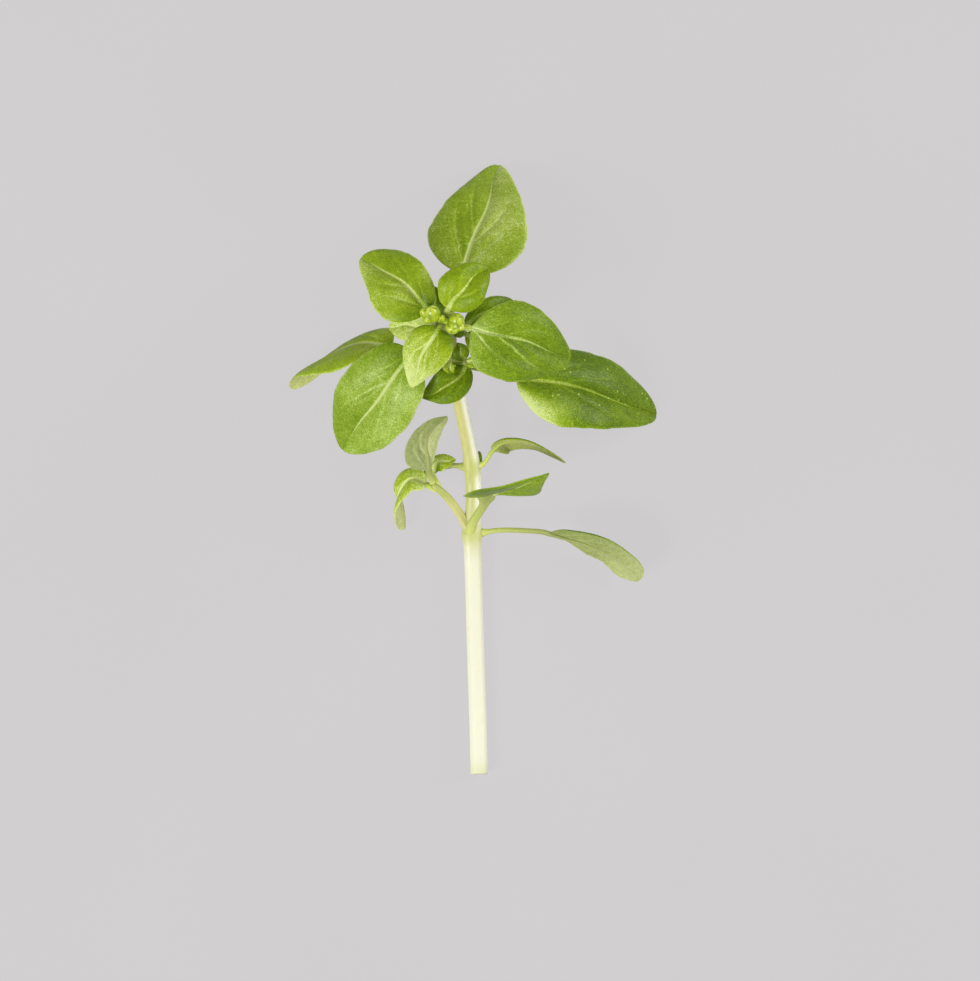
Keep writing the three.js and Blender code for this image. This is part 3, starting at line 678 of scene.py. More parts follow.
@dataclass
class Leaf:
    """One leaf. A pair of numbers is for its left and its right half, as seen from above."""

    rib: list  # points from the stem to the leaf's tip
    left: tuple  # half widths from the blade's base to its tip
    right: tuple  # the same for the right half
    face: tuple  # where the upper face looks
    face_tip: tuple = None  # where it looks at the tip, if it twists
    turn: float = 1  # how late it twists
    blade_from: int = 1  # the point of the rib where the blade starts
    fold: tuple = (12, 12)  # degrees by which a half lifts at the rib
    fold_tip: tuple = None  # the same at the tip, where it differs
    curl: tuple = (-25, -25)  # degrees by which a half bends from the rib to the margin
    curl_tip: tuple = None  # the same at the tip, where it differs
    wave: float = 0.1  # height of the margin's ripple
    stalk: float = 0.5  # radius of the stalk
    flare: float = 1.6  # how many times wider it is at the stem
    throat: tuple = (0.2, 0.2)  # how much wider it is at the blade
    rows: int = 60  # the grid along the blade, and across one half
    across: int = 20
    # Each half's depth of green holds painted shade and painted light as well as the leaf's own green.
    tone: tuple = (0.5, 0.5)  # depth of green
    # edge lightens the margin near the base as a painted sheen; a negative value darkens it as painted
    # shade.
    edge: tuple = (0, 0)  # how much paler the margin is near the base
    # The base and the tip are lightened, or darkened where negative, partly as painted light and
    # painted shade.
    base: float = 0.3  # how much paler the base is
    tip: float = 0  # how much paler the tip is
    veined: tuple = (0.8, 0.8)  # how strongly side veins show
    young: float = 0  # 1 has the fresher green of a young leaf
    stalk_young: float = None  # the same for the stalk, where it differs
    # The oil glands' dots are lightened partly as painted glints.
    gland: float = 0.35  # how strongly the oil glands show

    def __post_init__(self):
        self.line = SmoothLine(self.rib)
        self.blade_share = self.line.share_of(self.blade_from)
        self.blade_length = self.line.length * (1 - self.blade_share)
        self.half = max(self.left), max(self.right)
        self.face, self.face_tip = unit(self.face), unit(self.face_tip or self.face)
        self.fold_tip = self.fold_tip or self.fold
        self.curl_tip = self.curl_tip or self.curl
        if self.stalk_young is None:
            self.stalk_young = self.young

    def facing(self, u):
        turned = np.asarray(u)[:, None] ** self.turn
        return self.face * (1 - turned) + self.face_tip * turned

    def sway(self, u):
        """How far the rib wanders sideways between its points, as a living rib does."""
        return RIB_SWAY * np.sin(math.pi * u) * np.sin(2 * math.pi * RIB_WAVES * u + self.half[1])

    def half_width(self, u, v):
        """Width from rib to margin, with the slight raggedness of a real margin."""
        width = np.where(v < 0, width_at(u, self.left), width_at(u, self.right))
        start = u + RAGGED_STAGGER * (v > 0) + self.half[0] / (2 * math.pi)
        ragged = sum(depth * np.sin(2 * math.pi * turns * start) for depth, turns in RAGGED)
        return width * (1 + ragged * np.sin(math.pi * np.clip(u, 0, 1)))


sample = Leaf(rib=[(0, 0, 0), (2, 0, 0), (20, 0, 0)], left=oval(6), right=oval(6), face=(0, 0, 1))
print("a sample leaf's blade:", round(sample.blade_length, 1), "mm long")

# %% [markdown]
# Side veins leave the rib at a slant and bow towards the tip, and the flesh swells between them. The
# swelling could be a bump in the finish, but it shapes the light on the leaf, so it is modelled. The
# lines of the veins are finer than the blade's grid: the grid only counts them, and the finish draws
# a line wherever the count is whole. They show for a part of the way across and along.

# %% Side veins, and the swelling between them
VEIN_FIRST = 0.02
VEIN_SPACING = 0.27
VEIN_LEAN = 0.56
VEIN_BOW = 0.2
VEIN_STAGGER = 0.25
VEIN_SHOWS_ACROSS = (0, 0.03), (0.25, 0.85)
VEIN_SHOWS_ALONG = (-0.12, 0), (0.2, 0.55)
QUILT_REACH = 1.3
NARROWEST = 1


def vein_marks(leaf, u, v):
    """The count of side veins, the distance between two, and how strongly they show."""
    width = np.maximum(leaf.half_width(u, v), NARROWEST)
    out = np.abs(v)
    root = u - VEIN_LEAN * out - VEIN_BOW * out**2
    count = (root - VEIN_FIRST) / VEIN_SPACING + VEIN_STAGGER * (v > 0)
    slant = np.hypot(1 / leaf.blade_length, (VEIN_LEAN + 2 * VEIN_BOW * out) / width)
    show = np.where(v < 0, *leaf.veined)
    for place, (begins, ends) in ((out, VEIN_SHOWS_ACROSS), (root, VEIN_SHOWS_ALONG)):
        show = show * smooth(place, *begins) * (1 - smooth(place, *ends))
    return count, VEIN_SPACING / slant, show


def swelling(leaf, u, v):
    """How high the flesh swells: 0 on a vein, at the margin and at both ends, 1 between."""
    count, pitch, show = vein_marks(leaf, u, v)
    vein_apart = np.abs(count - np.round(count)) * pitch + 2 * QUILT_REACH * (1 - show)
    nearest = np.minimum(np.abs(v) * leaf.half_width(u, v), vein_apart)
    swell = 1 - np.exp(-((nearest / QUILT_REACH) ** 2))
    return swell * (1 - np.abs(v) ** 6) * np.sin(math.pi * np.clip(u, 0, 1)) ** 0.5


print("side veins on half a leaf, about:", round((1 - VEIN_FIRST) / VEIN_SPACING))

# %% [markdown]
# Each half of the blade lifts at the rib and bends down to the margin along an arc, and the margin
# rises and falls a little. Bending a flat blade with a modifier would bend both halves alike, so each
# point is placed on its own half's arc.

# %% Bend a blade
RIPPLES = 2
RIPPLE_STAGGER = 0.25
FLATTEST = 1e-3


def blade_surface(leaf, u, v, lift):
    """Points of a face of the blade, lifted off its middle surface by lift."""
    centre, normal, side = leaf.line.frames(
        leaf.blade_share + (1 - leaf.blade_share) * u[:, 0], leaf.facing(u[:, 0]))
    fold, curl = (np.radians(np.where(v < 0, *base) * (1 - u) + np.where(v < 0, *tip) * u)
                  for base, tip in ((leaf.fold, leaf.fold_tip), (leaf.curl, leaf.curl_tip)))
    width = np.abs(v) * leaf.half_width(u, v)
    bend = np.where(np.abs(curl) > FLATTEST, curl, FLATTEST) / np.where(v < 0, *leaf.half)
    slope = fold + bend * width
    outwards = (np.sin(slope) - np.sin(fold)) / bend - np.sin(slope) * lift
    ripple = leaf.wave * v * v * np.sin(math.pi * u) * np.sin(
        2 * math.pi * (RIPPLES * u + RIPPLE_STAGGER * (v >= 0)))
    height = (np.cos(fold) - np.cos(slope)) / bend + np.cos(slope) * lift + ripple
    sideways = np.sign(v) * outwards + leaf.sway(u) * (1 - v * v)
    return (centre[:, None] + sideways[..., None] * side[:, None]
            + height[..., None] * normal[:, None])


half_way = blade_surface(sample, np.array([[0.5]]), np.array([[-1, 1]]), 0)[0]
print("its margins half way:", round(np.linalg.norm(half_way[1] - half_way[0]), 1), "mm apart")

# %% [markdown]
# The blade is skinned from two grids with the same rows, one for each face, which meet in a thin
# rounded margin. The rows shrink to one point at the base and at the tip. More columns run near the
# rib, which is sunk into the upper face, because the relief is finest there. The green isn't even
# either: each half has its own depth, which holds painted shade as well as the leaf's own green. The
# base and the tip are lightened, and in some leaves darkened, partly because a leaf greens as it ages
# and partly as painted light and painted shade, and the margin near the base gets a painted sheen.

# %% Grow a blade
BLADE_THICKNESS = 0.36
QUILT_HEIGHT = 0.5
RIB_CROWDING = 0.4
GROOVE_DEPTH = 0.12
GROOVE_REACH = 0.32
GROOVE_FROM = (0, 0.15)
MARGIN_THINS = 0.6
FLESH_THINS = 0.25
ALMOST = 1e-5
# The band along the margin that is lightened as a painted highlight.
PAINTED_RIM_LIGHT = (0.95, 1)
HALVES_MEET = (-0.06, 0.06)
PAINTED_SHEEN_ACROSS = (0.2, 0.9)
PAINTED_SHEEN_ALONG = (-0.05, 0.06), (0.05, 0.5)
BASE_PALES = (0, 0.3)
TIP_PALES = (0.4, 0.9)
SMALL_TO_LARGE = (5, 20)


def blade_colour_and_shade(leaf, u, v):
    """The depth of green over the blade, with its painted shade and painted sheen, before the finish
    adds its speckle.
    """
    near_base, away = PAINTED_SHEEN_ALONG
    # A painted sheen on the margin near the base of the blade.
    painted_sheen = smooth(u, *near_base) * (1 - smooth(u, *away)) * smooth(np.abs(v), *PAINTED_SHEEN_ACROSS)
    size = smooth(leaf.blade_length, *SMALL_TO_LARGE)
    left, right = leaf.tone
    return (left + (right - left) * smooth(v, *HALVES_MEET) - np.where(v < 0, *leaf.edge) * painted_sheen
            - leaf.base * size * (1 - smooth(u, *BASE_PALES)) - leaf.tip * smooth(u, *TIP_PALES))


def add_blade(growth, leaf):
    rows, across = leaf.rows, leaf.across
    u = ((1 - np.cos(np.linspace(0, 1, rows + 1) * math.pi)) / 2)[:, None]
    u = np.clip(u, ALMOST, 1 - ALMOST)
    t = np.arange(-across, across + 1) / across
    v = (t * (RIB_CROWDING + (1 - RIB_CROWDING) * np.abs(t)))[None]
    count, pitch, show = vein_marks(leaf, u, v)
    rib_apart = np.abs(v) * leaf.half_width(u, v)
    swell = QUILT_HEIGHT * swelling(leaf, u, v)
    half_thick = BLADE_THICKNESS / 2 * (1 - MARGIN_THINS * v**8 - FLESH_THINS * v**2)
    groove = GROOVE_DEPTH * smooth(u, *GROOVE_FROM) * np.exp(-((rib_apart / GROOVE_REACH) ** 2))
    grids = np.stack([blade_surface(leaf, u, v, swell + half_thick - groove),
                      blade_surface(leaf, u, v, swell - half_thick)])
    shape = grids.shape[:3]
    number = np.arange(math.prod(shape)).reshape(shape)
    for end in (0, rows):
        grids[:, end] = grids[:, end, across:across + 1]
        number[:, end] = number[:, end, across:across + 1]
    above, below = number.tolist()
    faces, kinds = [], []

    def add(face, kind):
        corners = [c for k, c in enumerate(face) if c != face[k - 1]]
        if len(corners) > 2:
            faces.append(corners)
            kinds.append(kind)

    for i in range(rows):
        for j in range(2 * across):
            add([above[i][j], above[i][j + 1], above[i + 1][j + 1], above[i + 1][j]], "upper")
            add([below[i][j], below[i + 1][j], below[i + 1][j + 1], below[i][j + 1]], "back")
        add([below[i][-1], below[i + 1][-1], above[i + 1][-1], above[i][-1]], "upper")
        add([below[i + 1][0], below[i][0], above[i][0], above[i + 1][0]], "upper")
    used = np.unique(np.concatenate(faces))
    renumber = np.full(number.size, -1)
    renumber[used] = np.arange(len(used))
    faces = [[int(renumber[c]) for c in face] for face in faces]

    def both(values):
        return np.broadcast_to(values, shape).ravel()[used]

    growth.add(grids.reshape(-1, 3)[used], faces, kinds,
               rib_apart=both(rib_apart), vein_count=both(count), vein_pitch=both(pitch),
               vein_show=both(show), rim=both(smooth(np.abs(v), *PAINTED_RIM_LIGHT)),
               tone=both(blade_colour_and_shade(leaf, u, v)), along=both(u), young=leaf.young,
               gland=leaf.gland)


print("relief of a blade, from its groove to its swelling:", GROOVE_DEPTH + QUILT_HEIGHT, "mm")

# %% [markdown]
# The stalk is a tube that comes out of the stem with a small flare, is hollowed along its top, and
# sinks below the blade to become the rib on its back. Its first ring is hidden inside the stem, so
# the two look grown together. A curve object could be bevelled to this, but it would keep one round
# section all the way. The first part of its run is the free stalk, the rest is the rib.

# %% Grow a stalk and a whole leaf
STALK_SIDES = 14
STALK_RINGS = 44
STALK_CROWDING = 1.2
STALK_SEARCH = 60
STALK_PART = 0.35
RIB_REACH = 0.93
RIB_TIP_RADIUS = 0.07
RIB_SUNK = 0.8
RIB_SINKS = (-0.05, 0.09)
FLARE_REACH = 0.8
THROAT_REACH = 0.06
HOLLOW_DEPTH = 0.3
HOLLOW_WIDTH = 0.55
HOLLOW_FROM = (0.2, 1.5)


def add_stalk(growth, leaf, parent=None):
    start = 0
    if parent:
        shares = np.linspace(0, leaf.blade_share, STALK_SEARCH)
        depth = parent.skin_distance(leaf.line.at(shares))
        start = shares[max(int(np.argmax(depth > -leaf.stalk)) - 1, 0)]
    end = leaf.blade_share + (1 - leaf.blade_share) * RIB_REACH
    shares = start + (end - start) * np.linspace(0, 1, STALK_RINGS) ** STALK_CROWDING
    u = np.clip((shares - leaf.blade_share) / (1 - leaf.blade_share), 0, 1)
    centre, normal, side = leaf.line.frames(shares, leaf.facing(u))
    apart = parent.skin_distance(centre) if parent else shares * leaf.line.length
    flare = 1 + (leaf.flare - 1) * np.exp(-((np.maximum(apart, 0) / FLARE_REACH) ** 2))
    throat = np.exp(-(((shares - leaf.blade_share) / THROAT_REACH) ** 2))
    taper = (u / RIB_REACH) ** 0.5
    radius = leaf.stalk * flare * (1 - taper) + RIB_TIP_RADIUS * taper
    sunk = RIB_SUNK * radius * smooth(shares - leaf.blade_share, *RIB_SINKS)
    centre = centre - sunk[:, None] * normal + leaf.sway(u)[:, None] * side
    angle = np.arange(STALK_SIDES) / STALK_SIDES * 2 * math.pi
    wider = np.where(np.cos(angle) > 0, *leaf.throat) * np.cos(angle) ** 2
    hollow = HOLLOW_DEPTH * np.exp(-(((angle - math.pi / 2) / HOLLOW_WIDTH) ** 2))
    reach = radius[:, None] * (1 - hollow * smooth(apart, *HOLLOW_FROM)[:, None]
                               + throat[:, None] * wider)
    along = STALK_PART * np.minimum(shares / leaf.blade_share, 1) + (1 - STALK_PART) * u
    growth.add_tube(set_rings(centre, normal, side, angle, reach), "stalk",
                    along=along[:, None], young=leaf.stalk_young)


def add_leaf(growth, leaf, parent=None):
    add_blade(growth, leaf)
    add_stalk(growth, leaf, parent)


growth = Growth()
add_leaf(growth, sample)
print("faces of the sample leaf, which isn't kept:", len(growth.faces))

# %% [markdown]
# The main stem is skinned from rings about half a millimetre apart. At each node it turns greener
# and a low ridge joins the two stalks. The lower end is cut square, with a slightly sunk pith, and
# painted shade darkens the stem just above the cut. The underside is flat where it rests on the
# table. A step of the cut is a share of the stem's outline, how far it is sunk, and how near the pith
# it is. A small dark bud sits in the angle above the middle pair of leaves.

# %% Grow the main stem
NODES = (5, 9, 14, 16, 18)
NODE_REACH = 1.9
STEM_STEP = 0.45
STEM_SKIN_SIDES = 40
RIDGE_HEIGHT = 0.07
RIDGE_REACH = 0.3
CUT_STEPS = ((0.3, 0.24, 1), (0.6, 0.2, 0.9), (0.66, 0.04, 0.4), (0.8, 0, 0.35), (0.93, 0.02, 0.2),
             (0.985, 0.07, 0.1))
CUT_SET_BACK = 0.03
CUT_END_SHADE = 0.45
CUT_END_SHADE_REACH = 2.2
PAINTED_LIT_SIDE = (-0.15, 0.65)


def near(stem, shares, places, reach):
    """1 at each place along a stem, falling to 0 within a few times reach, in millimetres."""
    apart = (shares[:, None] - places) * stem.line.length
    return np.exp(-((apart / reach) ** 2)).max(1)


growth = Growth()
shares = np.linspace(0, 1, round(main_stem.line.length / STEM_STEP))
node_shares = main_stem.marks[list(NODES)]
ridges = near(main_stem, shares, node_shares, RIDGE_REACH)
rings = main_stem.rings(shares, STEM_SKIN_SIDES, RIDGE_HEIGHT * ridges)
rings[..., 2] = np.maximum(rings[..., 2], 0)
middle = rings[0].mean(0)
cut_rings = [middle + (rings[0] - middle) * share + [0, sunk, 0] for share, sunk, pith in CUT_STEPS]
rings[0, :, 1] += CUT_SET_BACK
# Painted shade: the stem is darkened towards its cut end.
cut_end_shade = CUT_END_SHADE * near(main_stem, shares, [0], CUT_END_SHADE_REACH)
knot = near(main_stem, shares, node_shares, NODE_REACH) + cut_end_shade
around = (np.arange(STEM_SKIN_SIDES) + 0.5) / STEM_SKIN_SIDES * 2 * math.pi
before = np.zeros(len(CUT_STEPS))
cut = [pith for share, sunk, pith in CUT_STEPS]
growth.add_tube(np.concatenate([cut_rings, rings]), "stem",
                along=np.concatenate([before, shares])[:, None],
                knot=np.concatenate([before, knot])[:, None],
                cut=np.concatenate([cut, np.zeros(len(shares))])[:, None],
                # On the main stem the young mark holds a painted highlight down one side.
                young=smooth(-np.cos(around), *PAINTED_LIT_SIDE))
add_bud(growth, (0.9, 2.6, 6.2), (0, 0.95, 0.35), 1.5, 0.6, scales=2, kind="upper")
growth.piece("main_stem_grown", "main_stem", FINISHES)

# %% [markdown]
# The side shoot leaves the lower node and carries three small leaves. The one that points at the
# main stem is part of the shoot's own piece.

# %% Grow the side shoot
SHOOT_START = 0.07
SHOOT_RINGS = 60
SHOOT_SIDES = 28
SHOOT_FLARE = 0.25
SHOOT_FLARE_REACH = 0.08
SHOOT_TIP = (0.93, 1)
SHOOT_TIP_NARROWS = 0.2
SHOOT_KNOT = 0.4
SHOOT_ALONG = (0.6, 0.3)

growth = Growth()
shares = np.linspace(SHOOT_START, 1, SHOOT_RINGS)
swell = (SHOOT_FLARE * np.exp(-(((shares - SHOOT_START) / SHOOT_FLARE_REACH) ** 2))
         - SHOOT_TIP_NARROWS * smooth(shares, *SHOOT_TIP))
knot = SHOOT_KNOT * near(side_shoot, shares, side_shoot.marks[-1:], NODE_REACH)
growth.add_tube(side_shoot.rings(shares, SHOOT_SIDES, swell), "stem",
                along=(SHOOT_ALONG[0] + SHOOT_ALONG[1] * shares)[:, None], knot=knot[:, None])
add_leaf(growth, Leaf(
    rib=[(-6.4, -3.1, 6), (-7.6, 0.2, 6), (-6.3, 1.9, 6.3), (-3.4, 2.5, 5.9)], left=oval(1.6),
    right=oval(1.6), face=(0, 0.3, 1), fold=(4, 4), curl=(-12, -12), wave=0.05, stalk=0.4, rows=36,
    across=12, tone=(0.4, 0.4), young=1), side_shoot)
growth.piece("side_shoot_grown", "side_shoot", FINISHES)

# %% [markdown]
# Fourteen leaves have a piece each. Their tables repeat the ribs and outlines of the solids, so each
# grown leaf fills its solid, and add what only the eye needs: the depth of green of each half, which
# holds painted shade and painted light too, the painted sheen on the margin, how young the leaf is,
# and how strongly its glands and their painted glints show. Most are seen from above; the pale ones
# turn their backs to the camera. The young leaf above lies a third of a millimetre below its solid's
# rib, so that its swollen blade stays inside the solids' box.

# %% Tables of the single leaves
LEAVES = {
    "top_leaf": ("leaf", dict(
        rib=[(-4.5, 24.2, 21), (-3.5, 31, 21), (-2.2, 35.8, 18.6), (0.1, 42.6, 14.6),
             (2.4, 49.4, 8.9), (4.3, 56.9, 0.3)],
        blade_from=2, left=(4.2, 7.5, 8.7, 7.5, 5.4, 3.4, 1.6),
        right=(4.9, 7.9, 9.4, 8, 5.7, 3.5, 1.7), face=(0, 0.55, 0.8), wave=0.4, rows=90, across=28,
        tone=(0.56, 0.32), edge=(0.05, -0.3), base=0.1, veined=(1.2, 0.8), young=0.5, stalk_young=1,
        gland=0.5)),
    "upper_left_leaf": ("leaf", dict(
        rib=[(-4.7, 26.7, 26), (-8, 28.9, 27), (-11.3, 32.4, 26.5), (-15.5, 35.9, 23.5),
             (-20.3, 38.6, 19.5)],
        left=(3.4, 6.2, 7, 6.3, 4.5, 2.9, 1.4), right=(2.2, 3.7, 4.8, 5.1, 4.3, 3, 1.4),
        face=(-0.3, 0.35, 0.9), wave=0.3, rows=76, across=24, tone=(0.4, 0.66), edge=(0.05, 0.5),
        base=-0.4, tip=0.02, young=0.6, stalk_young=1, gland=0.4)),
    "upper_right_leaf": ("leaf", dict(
        rib=[(-5, 26.2, 26), (-0.4, 25.6, 27.8), (5.6, 24, 28), (11.4, 22.6, 25.5),
             (17.3, 20.4, 20.5)],
        left=(1.8, 4.9, 7, 6.6, 4.8, 3, 1.4), right=(4.2, 6.9, 7.5, 7.3, 5.8, 3.7, 1.7),
        face=(0.3, -0.05, 1), wave=0.35, rows=84, across=26, tone=(0.72, 0.76), edge=(0.05, 0.05),
        base=0.25, veined=(0.8, 1.9), stalk_young=1, gland=0.5)),
    "young_leaf_above": ("young_leaf", dict(
        rib=[(-5, 27.2, 26.8), (-4.4, 29.1, 29.6), (-2.2, 32.2, 31.63), (-0.1, 34.4, 31.13),
             (2.5, 36.2, 29.7)],
        left=(1.7, 3.1, 4.2, 4, 3.2, 2.2, 1), right=(1.8, 3.3, 4.1, 4.3, 3.6, 2.5, 1.2),
        face=(0.15, 0.15, 1), wave=0.15, stalk=0.42, rows=64, tone=(0.68, 0.78), edge=(0.15, 0.15),
        gland=0.15, young=0.85)),
    "young_leaf_below": ("young_leaf", dict(
        rib=[(-5.1, 26.9, 26.6), (-6.2, 25.5, 29.2), (-8.1, 22.3, 30), (-9.6, 19.3, 28.5),
             (-11.2, 15.3, 25)],
        left=(2.6, 4.2, 4.5, 3.8, 2.5, 1.5, 0.6), right=(2.2, 3.6, 4.2, 3.9, 2.9, 1.6, 0.6),
        face=(-0.3, -0.1, 1), wave=0.15, stalk=0.42, rows=64, tone=(0.38, 0.32), edge=(-0.1, 0.1),
        base=-1, tip=0.28, veined=(1, 1), gland=0.15, young=0.8)),
    "far_right_leaf": ("deep_leaf", dict(
        rib=[(-3.8, 19.5, 16), (1, 18.8, 16.6), (7.6, 17.3, 14.6), (15.6, 16.1, 12.5),
             (24, 13.9, 8.5), (33.6, 10.6, 0.4)],
        blade_from=2, left=(3, 5.2, 7.3, 7.7, 6.7, 4.9, 2.4), right=(3.7, 7, 8, 7.1, 5.2, 3.5, 1.7),
        face=(0.2, 0.35, 1), wave=0.4, rows=90, across=26, tone=(0.96, 0.92), edge=(0, 0.95),
        base=0.1, tip=0.05, young=0.4, veined=(0.6, 0.6), gland=1)),
    "broad_left_leaf": ("leaf", dict(
        rib=[(-4.5, 24.2, 21), (-10.8, 21, 22), (-15, 16.4, 20.5), (-19.5, 10.6, 16),
             (-23.9, 4.2, 9)],
        left=(4, 6.1, 7.1, 7.4, 6.4, 4.4, 2), right=(3.9, 6.2, 7.3, 7.6, 6.5, 4.2, 1.8),
        face=(-0.35, -0.25, 1), wave=0.4, rows=88, across=28, tone=(0.38, 0.5), base=-0.3, tip=-0.12,
        veined=(0.5, 0.9), stalk_young=0.8)),
    "far_left_leaf": ("deep_leaf", dict(
        rib=[(-3.8, 20, 16), (-9, 21.9, 16.2), (-14.8, 22.8, 15.6), (-21, 23.4, 13),
             (-28.7, 20.4, 6.6), (-33.9, 15.8, 0.3)],
        blade_from=2, left=(3.4, 5.1, 6.1, 5.6, 4.2, 2.3, 1.1),
        right=(4.1, 5, 4.3, 3.6, 2.8, 1.9, 1), face=(0, 0.8, 0.62), face_tip=(-0.3, 0.5, -0.9),
        turn=4, fold=(5, 22), fold_tip=(-14, -48), curl=(-20, -20), wave=0.2, rows=84, across=24,
        tone=(0.52, 0.68), base=0.2, young=0.8, gland=0.2)),
    "mid_right_leaf": ("pale_leaf", dict(
        rib=[(-0.3, 0.7, 6.2), (1.9, 1.9, 7.4), (3.4, 4.1, 8.4), (5.2, 5.6, 8.9), (8, 5.8, 9.2),
             (12, 4.5, 9), (16.7, 1.9, 8)],
        blade_from=2, left=(3.4, 4.6, 4.4, 3, 1.8, 1, 0.5), right=(1.2, 1.6, 1.7, 1.4, 1, 0.7, 0.4),
        face=(0.1, 0.95, -0.25), fold=(4, 4), curl=(-20, -20), stalk=0.36, across=18,
        tone=(0.74, 0.74), base=0, tip=-0.1, young=1)),
    "mid_left_leaf": ("deep_leaf", dict(
        rib=[(-0.5, 1, 6.3), (-4.4, 1.4, 4.6), (-7.6, 0.4, 3), (-11, -1.6, 2.2)],
        left=oval(1.9), right=oval(1.9), face=(-0.1, 0.9, 0.4), rows=40, across=12,
        tone=(0.8, 0.8))),
    "low_right_leaf": ("pale_leaf", dict(
        rib=[(-0.4, -11.3, 3), (4.5, -10.5, 4.2), (10, -10.6, 4.9), (14, -11.1, 5.2),
             (21.5, -13.4, 5.4), (27, -16.2, 5), (30.1, -19.9, 4.1)],
        blade_from=3, left=(1.1, 2.1, 3.7, 4.8, 5.4, 4.8, 2.8), right=(1.3, 3, 4.6, 5.3, 5, 4, 2.2),
        face=(0.3, 0.85, -0.38), wave=0.2, rows=80, across=22, tone=(0.9, 0.98), base=-0.2, tip=0.25,
        young=0.2, stalk_young=0)),
    "low_rising_leaf": ("leaf", dict(
        rib=[(-0.9, -12.2, 3), (-0.5, -9.6, 5.3), (1.4, -6.5, 8.4), (2.9, -4.2, 11.5),
             (5.3, -3.2, 15.5), (9, -2.1, 20.5), (13.4, -0.2, 25.5)],
        blade_from=3, left=(5.4, 6.9, 7.4, 6, 4.1, 2.3, 0.9),
        right=(0.6, 1.4, 3.6, 4.7, 3.2, 1.5, 0.5), face=(0.04, -0.94, 0.28), fold=(10, 8),
        curl=(0, 0), stalk=0.8, flare=1.15, throat=(2.4, 0.6), rows=72, tone=(0.94, 0.84),
        edge=(0, 0.35), tip=0.2, young=0.3, gland=0.15)),
    "side_shoot_turned_leaf": ("pale_leaf", dict(
        rib=[(-7.6, -1.8, 7), (-8.3, 0.5, 8.9), (-8.6, 4.5, 10.2), (-7.4, 8, 10.4),
             (-4.9, 10.3, 10)],
        left=(0.6, 1.2, 1.7, 1.8, 1.7, 1.2, 0.6), right=(2.3, 3.8, 4, 3.3, 2.1, 1.1, 0.4),
        face=(0, 0, -1), stalk=0.55, flare=1, across=18, tone=(0.62, 0.9), base=0,
        veined=(1.2, 1.8))),
    "side_shoot_hanging_leaf": ("young_leaf", dict(
        rib=[(-7, -3.2, 5.8), (-8.8, -2.1, 6.4), (-11.8, -1.1, 7.1), (-13.7, -3.8, 6.1),
             (-13.6, -7.2, 3.8), (-12.9, -10.3, 1.5)],
        left=(1.6, 2.4, 2.6, 2.3, 2.1, 1.9, 1.1), right=(1.6, 2.4, 2.6, 2.3, 1.8, 1.4, 0.8),
        face=(-0.2, 0.5, 0.8), face_tip=(-1, 0, -1), turn=1.5, flare=1.05, across=16,
        tone=(0.34, 0.34), tip=0.05, young=1)),
}
print("single leaves:", len(LEAVES))

# %% [markdown]
# Every leaf grows by the same steps from its own words, so a loop grows them all. A stalk starts
# inside the stem that carries it, and the side shoot carries two of the leaves.

# %% Grow the single leaves
for name, (slot, words) in LEAVES.items():
    growth = Growth()
    parent = side_shoot if name.startswith("side_shoot") else main_stem
    add_leaf(growth, Leaf(**words), parent)
    growth.piece(name + "_grown", name, FINISHES)

# %% [markdown]
# In the angles between the large leaves and the stem, short shoots are starting: two to four small
# leaves on one hub, from which every rib starts. Those in the shade of the leaves above them are
# painted the darkest green as painted shade, and the newest are pale. They are too small to be worth
# a piece each, so a shoot is one piece.

# %% Grow the short shoots
AXIL_SHOOTS = {
    "axil_shoot_front": ((-2.3, 20.5, 18.1), 0.9, [
        dict(rib=[(-1.6, 19.2, 18.3), (-3.2, 16.8, 19.4), (-5.6, 14.9, 19.2), (-9.4, 13.5, 17.5)],
             left=(1.5, 2.5, 3.2, 3.1, 2.3, 1.2, 0.4), right=(1.5, 2.6, 3.4, 3.4, 2.7, 1.6, 0.6),
             face=(0, -0.1, 1), wave=0.15, rows=50, across=16, tone=(0.88, 0.84), young=0.4),
        dict(rib=[(-1.9, 20.4, 18.6), (-2.4, 21.8, 20), (-3.3, 23.3, 20.6)],
             left=oval(1.6), right=oval(1.6), face=(0.2, 0, 1), wave=0, tone=(0.78, 0.74),
             young=0.4),
        dict(rib=[(-1.4, 20.1, 18.2), (-0.2, 19.8, 18.6), (1, 19.5, 18.2)],
             left=oval(1), right=oval(1), face=(0, 0, 1), wave=0, young=1),
        dict(rib=[(-3.9, 20.1, 20.6), (-4.5, 19.2, 21.3), (-3.7, 17.9, 20.8)],
             left=oval(1.3), right=oval(1.2), face=(0, 0, 1), wave=0, young=1),
    ]),
    "axil_shoot_right": ((-2.6, 25.1, 22), 0.95, [
        dict(rib=[(-1.4, 26.4, 22.4), (1.4, 28.2, 22.8), (4, 29.8, 22), (7, 31, 20)],
             left=oval(2.3), right=oval(2.8), face=(0.1, 0.1, 1), tone=(0.82, 0.78), young=0.4),
        dict(rib=[(-1.4, 24.8, 21.9), (0.6, 23.3, 21.6), (2.8, 20.9, 20.3), (4.6, 18.5, 18)],
             left=oval(2.4), right=oval(2.2), face=(0.1, -0.1, 1), tone=(0.8, 0.76), young=0.4),
    ]),
    "axil_shoot_left": ((-6.2, 26.2, 22.8), 1, [
        dict(rib=[(-7.4, 26.2, 23.3), (-10, 26.2, 23.4), (-12.6, 26.2, 22.4), (-15.2, 26, 20.5)],
             left=oval(3), right=oval(3), face=(-0.1, 0, 1), tone=(0.26, 0.2), young=0.8),
        dict(rib=[(-6.1, 27.8, 23.5), (-6.8, 30.6, 23.9), (-7.4, 33.4, 23)],
             left=oval(2.2), right=oval(2.2), face=(0, 0.1, 1), tone=(0.85, 0.85)),
    ]),
}
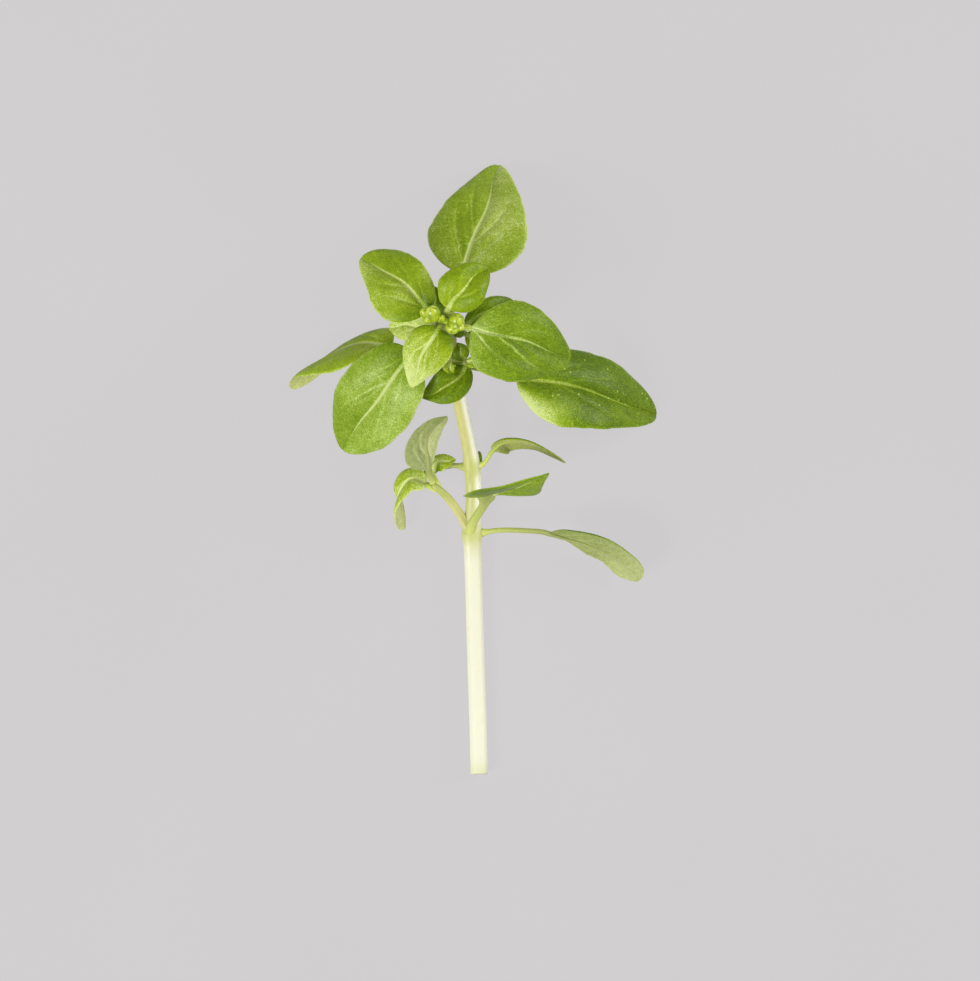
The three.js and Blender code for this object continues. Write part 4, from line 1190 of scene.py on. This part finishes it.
for name, (hub, size, leaves) in AXIL_SHOOTS.items():
    growth = Growth()
    add_bud(growth, hub, (0, 0, 1), size, size, kind="upper")
    for words in leaves:
        words = {"rows": 40, "across": 14, "stalk": 0.4, **words, "rib": [hub, *words["rib"]]}
        add_leaf(growth, Leaf(**words))
    growth.piece(name + "_grown", name, FINISHES)

# %% [markdown]
# At the tip two small clusters of flower buds stand close together. Each bud is an oval with creases,
# and they crowd round a core that joins them. A row of the table is a bud's middle, the way it points,
# half its length and half its width.

# %% Grow the tip buds
TIP_BUDS = [
    ((-5.5, 27.1, 29.3), (1, -0.4, 0), 1.9, 0.6), ((-5.6, 27.3, 29.8), (0, 0.1, 1), 1.1, 0.65),
    ((-7.3, 28.1, 29.7), (-0.1, 0.6, 1), 1.9, 1.45), ((-8.6, 28.3, 29.5), (-0.5, 0.2, 1), 1.2, 1),
    ((-8, 27.2, 29.7), (-0.4, -0.4, 1), 1.15, 0.8), ((-3, 26.9, 29.7), (0.1, 0.3, 1), 1.6, 1.4),
    ((-3.7, 25.7, 29.9), (-0.1, -0.3, 1), 1.5, 1.3), ((-2.4, 25.9, 29.4), (0.5, -0.2, 1), 1.1, 0.9),
]
growth = Growth()
for bud in TIP_BUDS:
    add_bud(growth, *bud)
growth.piece("tip_buds_grown", "tip_buds", FINISHES)

# %% [markdown]
# The table is a wide, pale, matt sheet that glows faintly, as a light table does, so that the sprig's
# shadows on it stay weak. It runs far past the picture so that its edge never shows, and it has a
# faint unevenness, because a perfectly even colour looks drawn. It is staging, not part of the sprig.

# %% Table
TABLE_HALF = 4
CLOUD_SIZE = 90

floor_mesh = bpy.data.meshes.new("table_top")
square = ((-1, -1), (1, -1), (1, 1), (-1, 1))
floor_mesh.from_pydata([(x * TABLE_HALF, y * TABLE_HALF, 0) for x, y in square], [],
                       [(0, 1, 2, 3)])
floor = in_scene("table_top", floor_mesh)
paper = Finish("pale_table")
cloud = paper.noise(CLOUD_SIZE)
floor_mesh.materials.append(paper.done({
    "Base Color": paper.mix(cloud, hue(60, 58, 59), hue(66, 64, 65)),
    "Emission Color": paper.mix(cloud, hue(199, 197, 198), hue(201, 199, 200)),
    "Emission Strength": 1, "Roughness": 0.9, "Specular IOR Level": 0.05}))
print("table:", 2 * TABLE_HALF, "m wide")

# %% [markdown]
# The light is that of a small studio: a soft white surround, a soft lamp from the lower left, and a
# weaker one from the upper right, so the shadows on the table are faint. Blender's own film-like
# view transform would grey the greens, so the plain one is used. A lamp's row is its name, its place
# and width in metres, and its power in watts.

# %% Light
LAMPS = (("lamp_left", (-0.6, -0.5, 0.75), 0.4, 8.6), ("lamp_right", (0.9, 0.3, 0.5), 0.5, 6.2))
SURROUND_COLOUR = hue(209, 206, 207)
SURROUND_STRENGTH = 0.72

world = bpy.data.worlds.new("surround")
bpy.context.scene.world = world
world.use_nodes = True
surround = world.node_tree.nodes["Background"]
surround.inputs["Color"].default_value = SURROUND_COLOUR
surround.inputs["Strength"].default_value = SURROUND_STRENGTH
bpy.context.scene.view_settings.view_transform = "Standard"

for name, place, width, power in LAMPS:
    lamp = bpy.data.lights.new(name, "AREA")
    lamp.size = width
    lamp.energy = power
    lit = in_scene(name, lamp)
    lit.location = place
    lit.rotation_mode = "QUATERNION"
    lit.rotation_quaternion = (-lit.location).to_track_quat("-Z", "Y")
    print(name, power, "W")
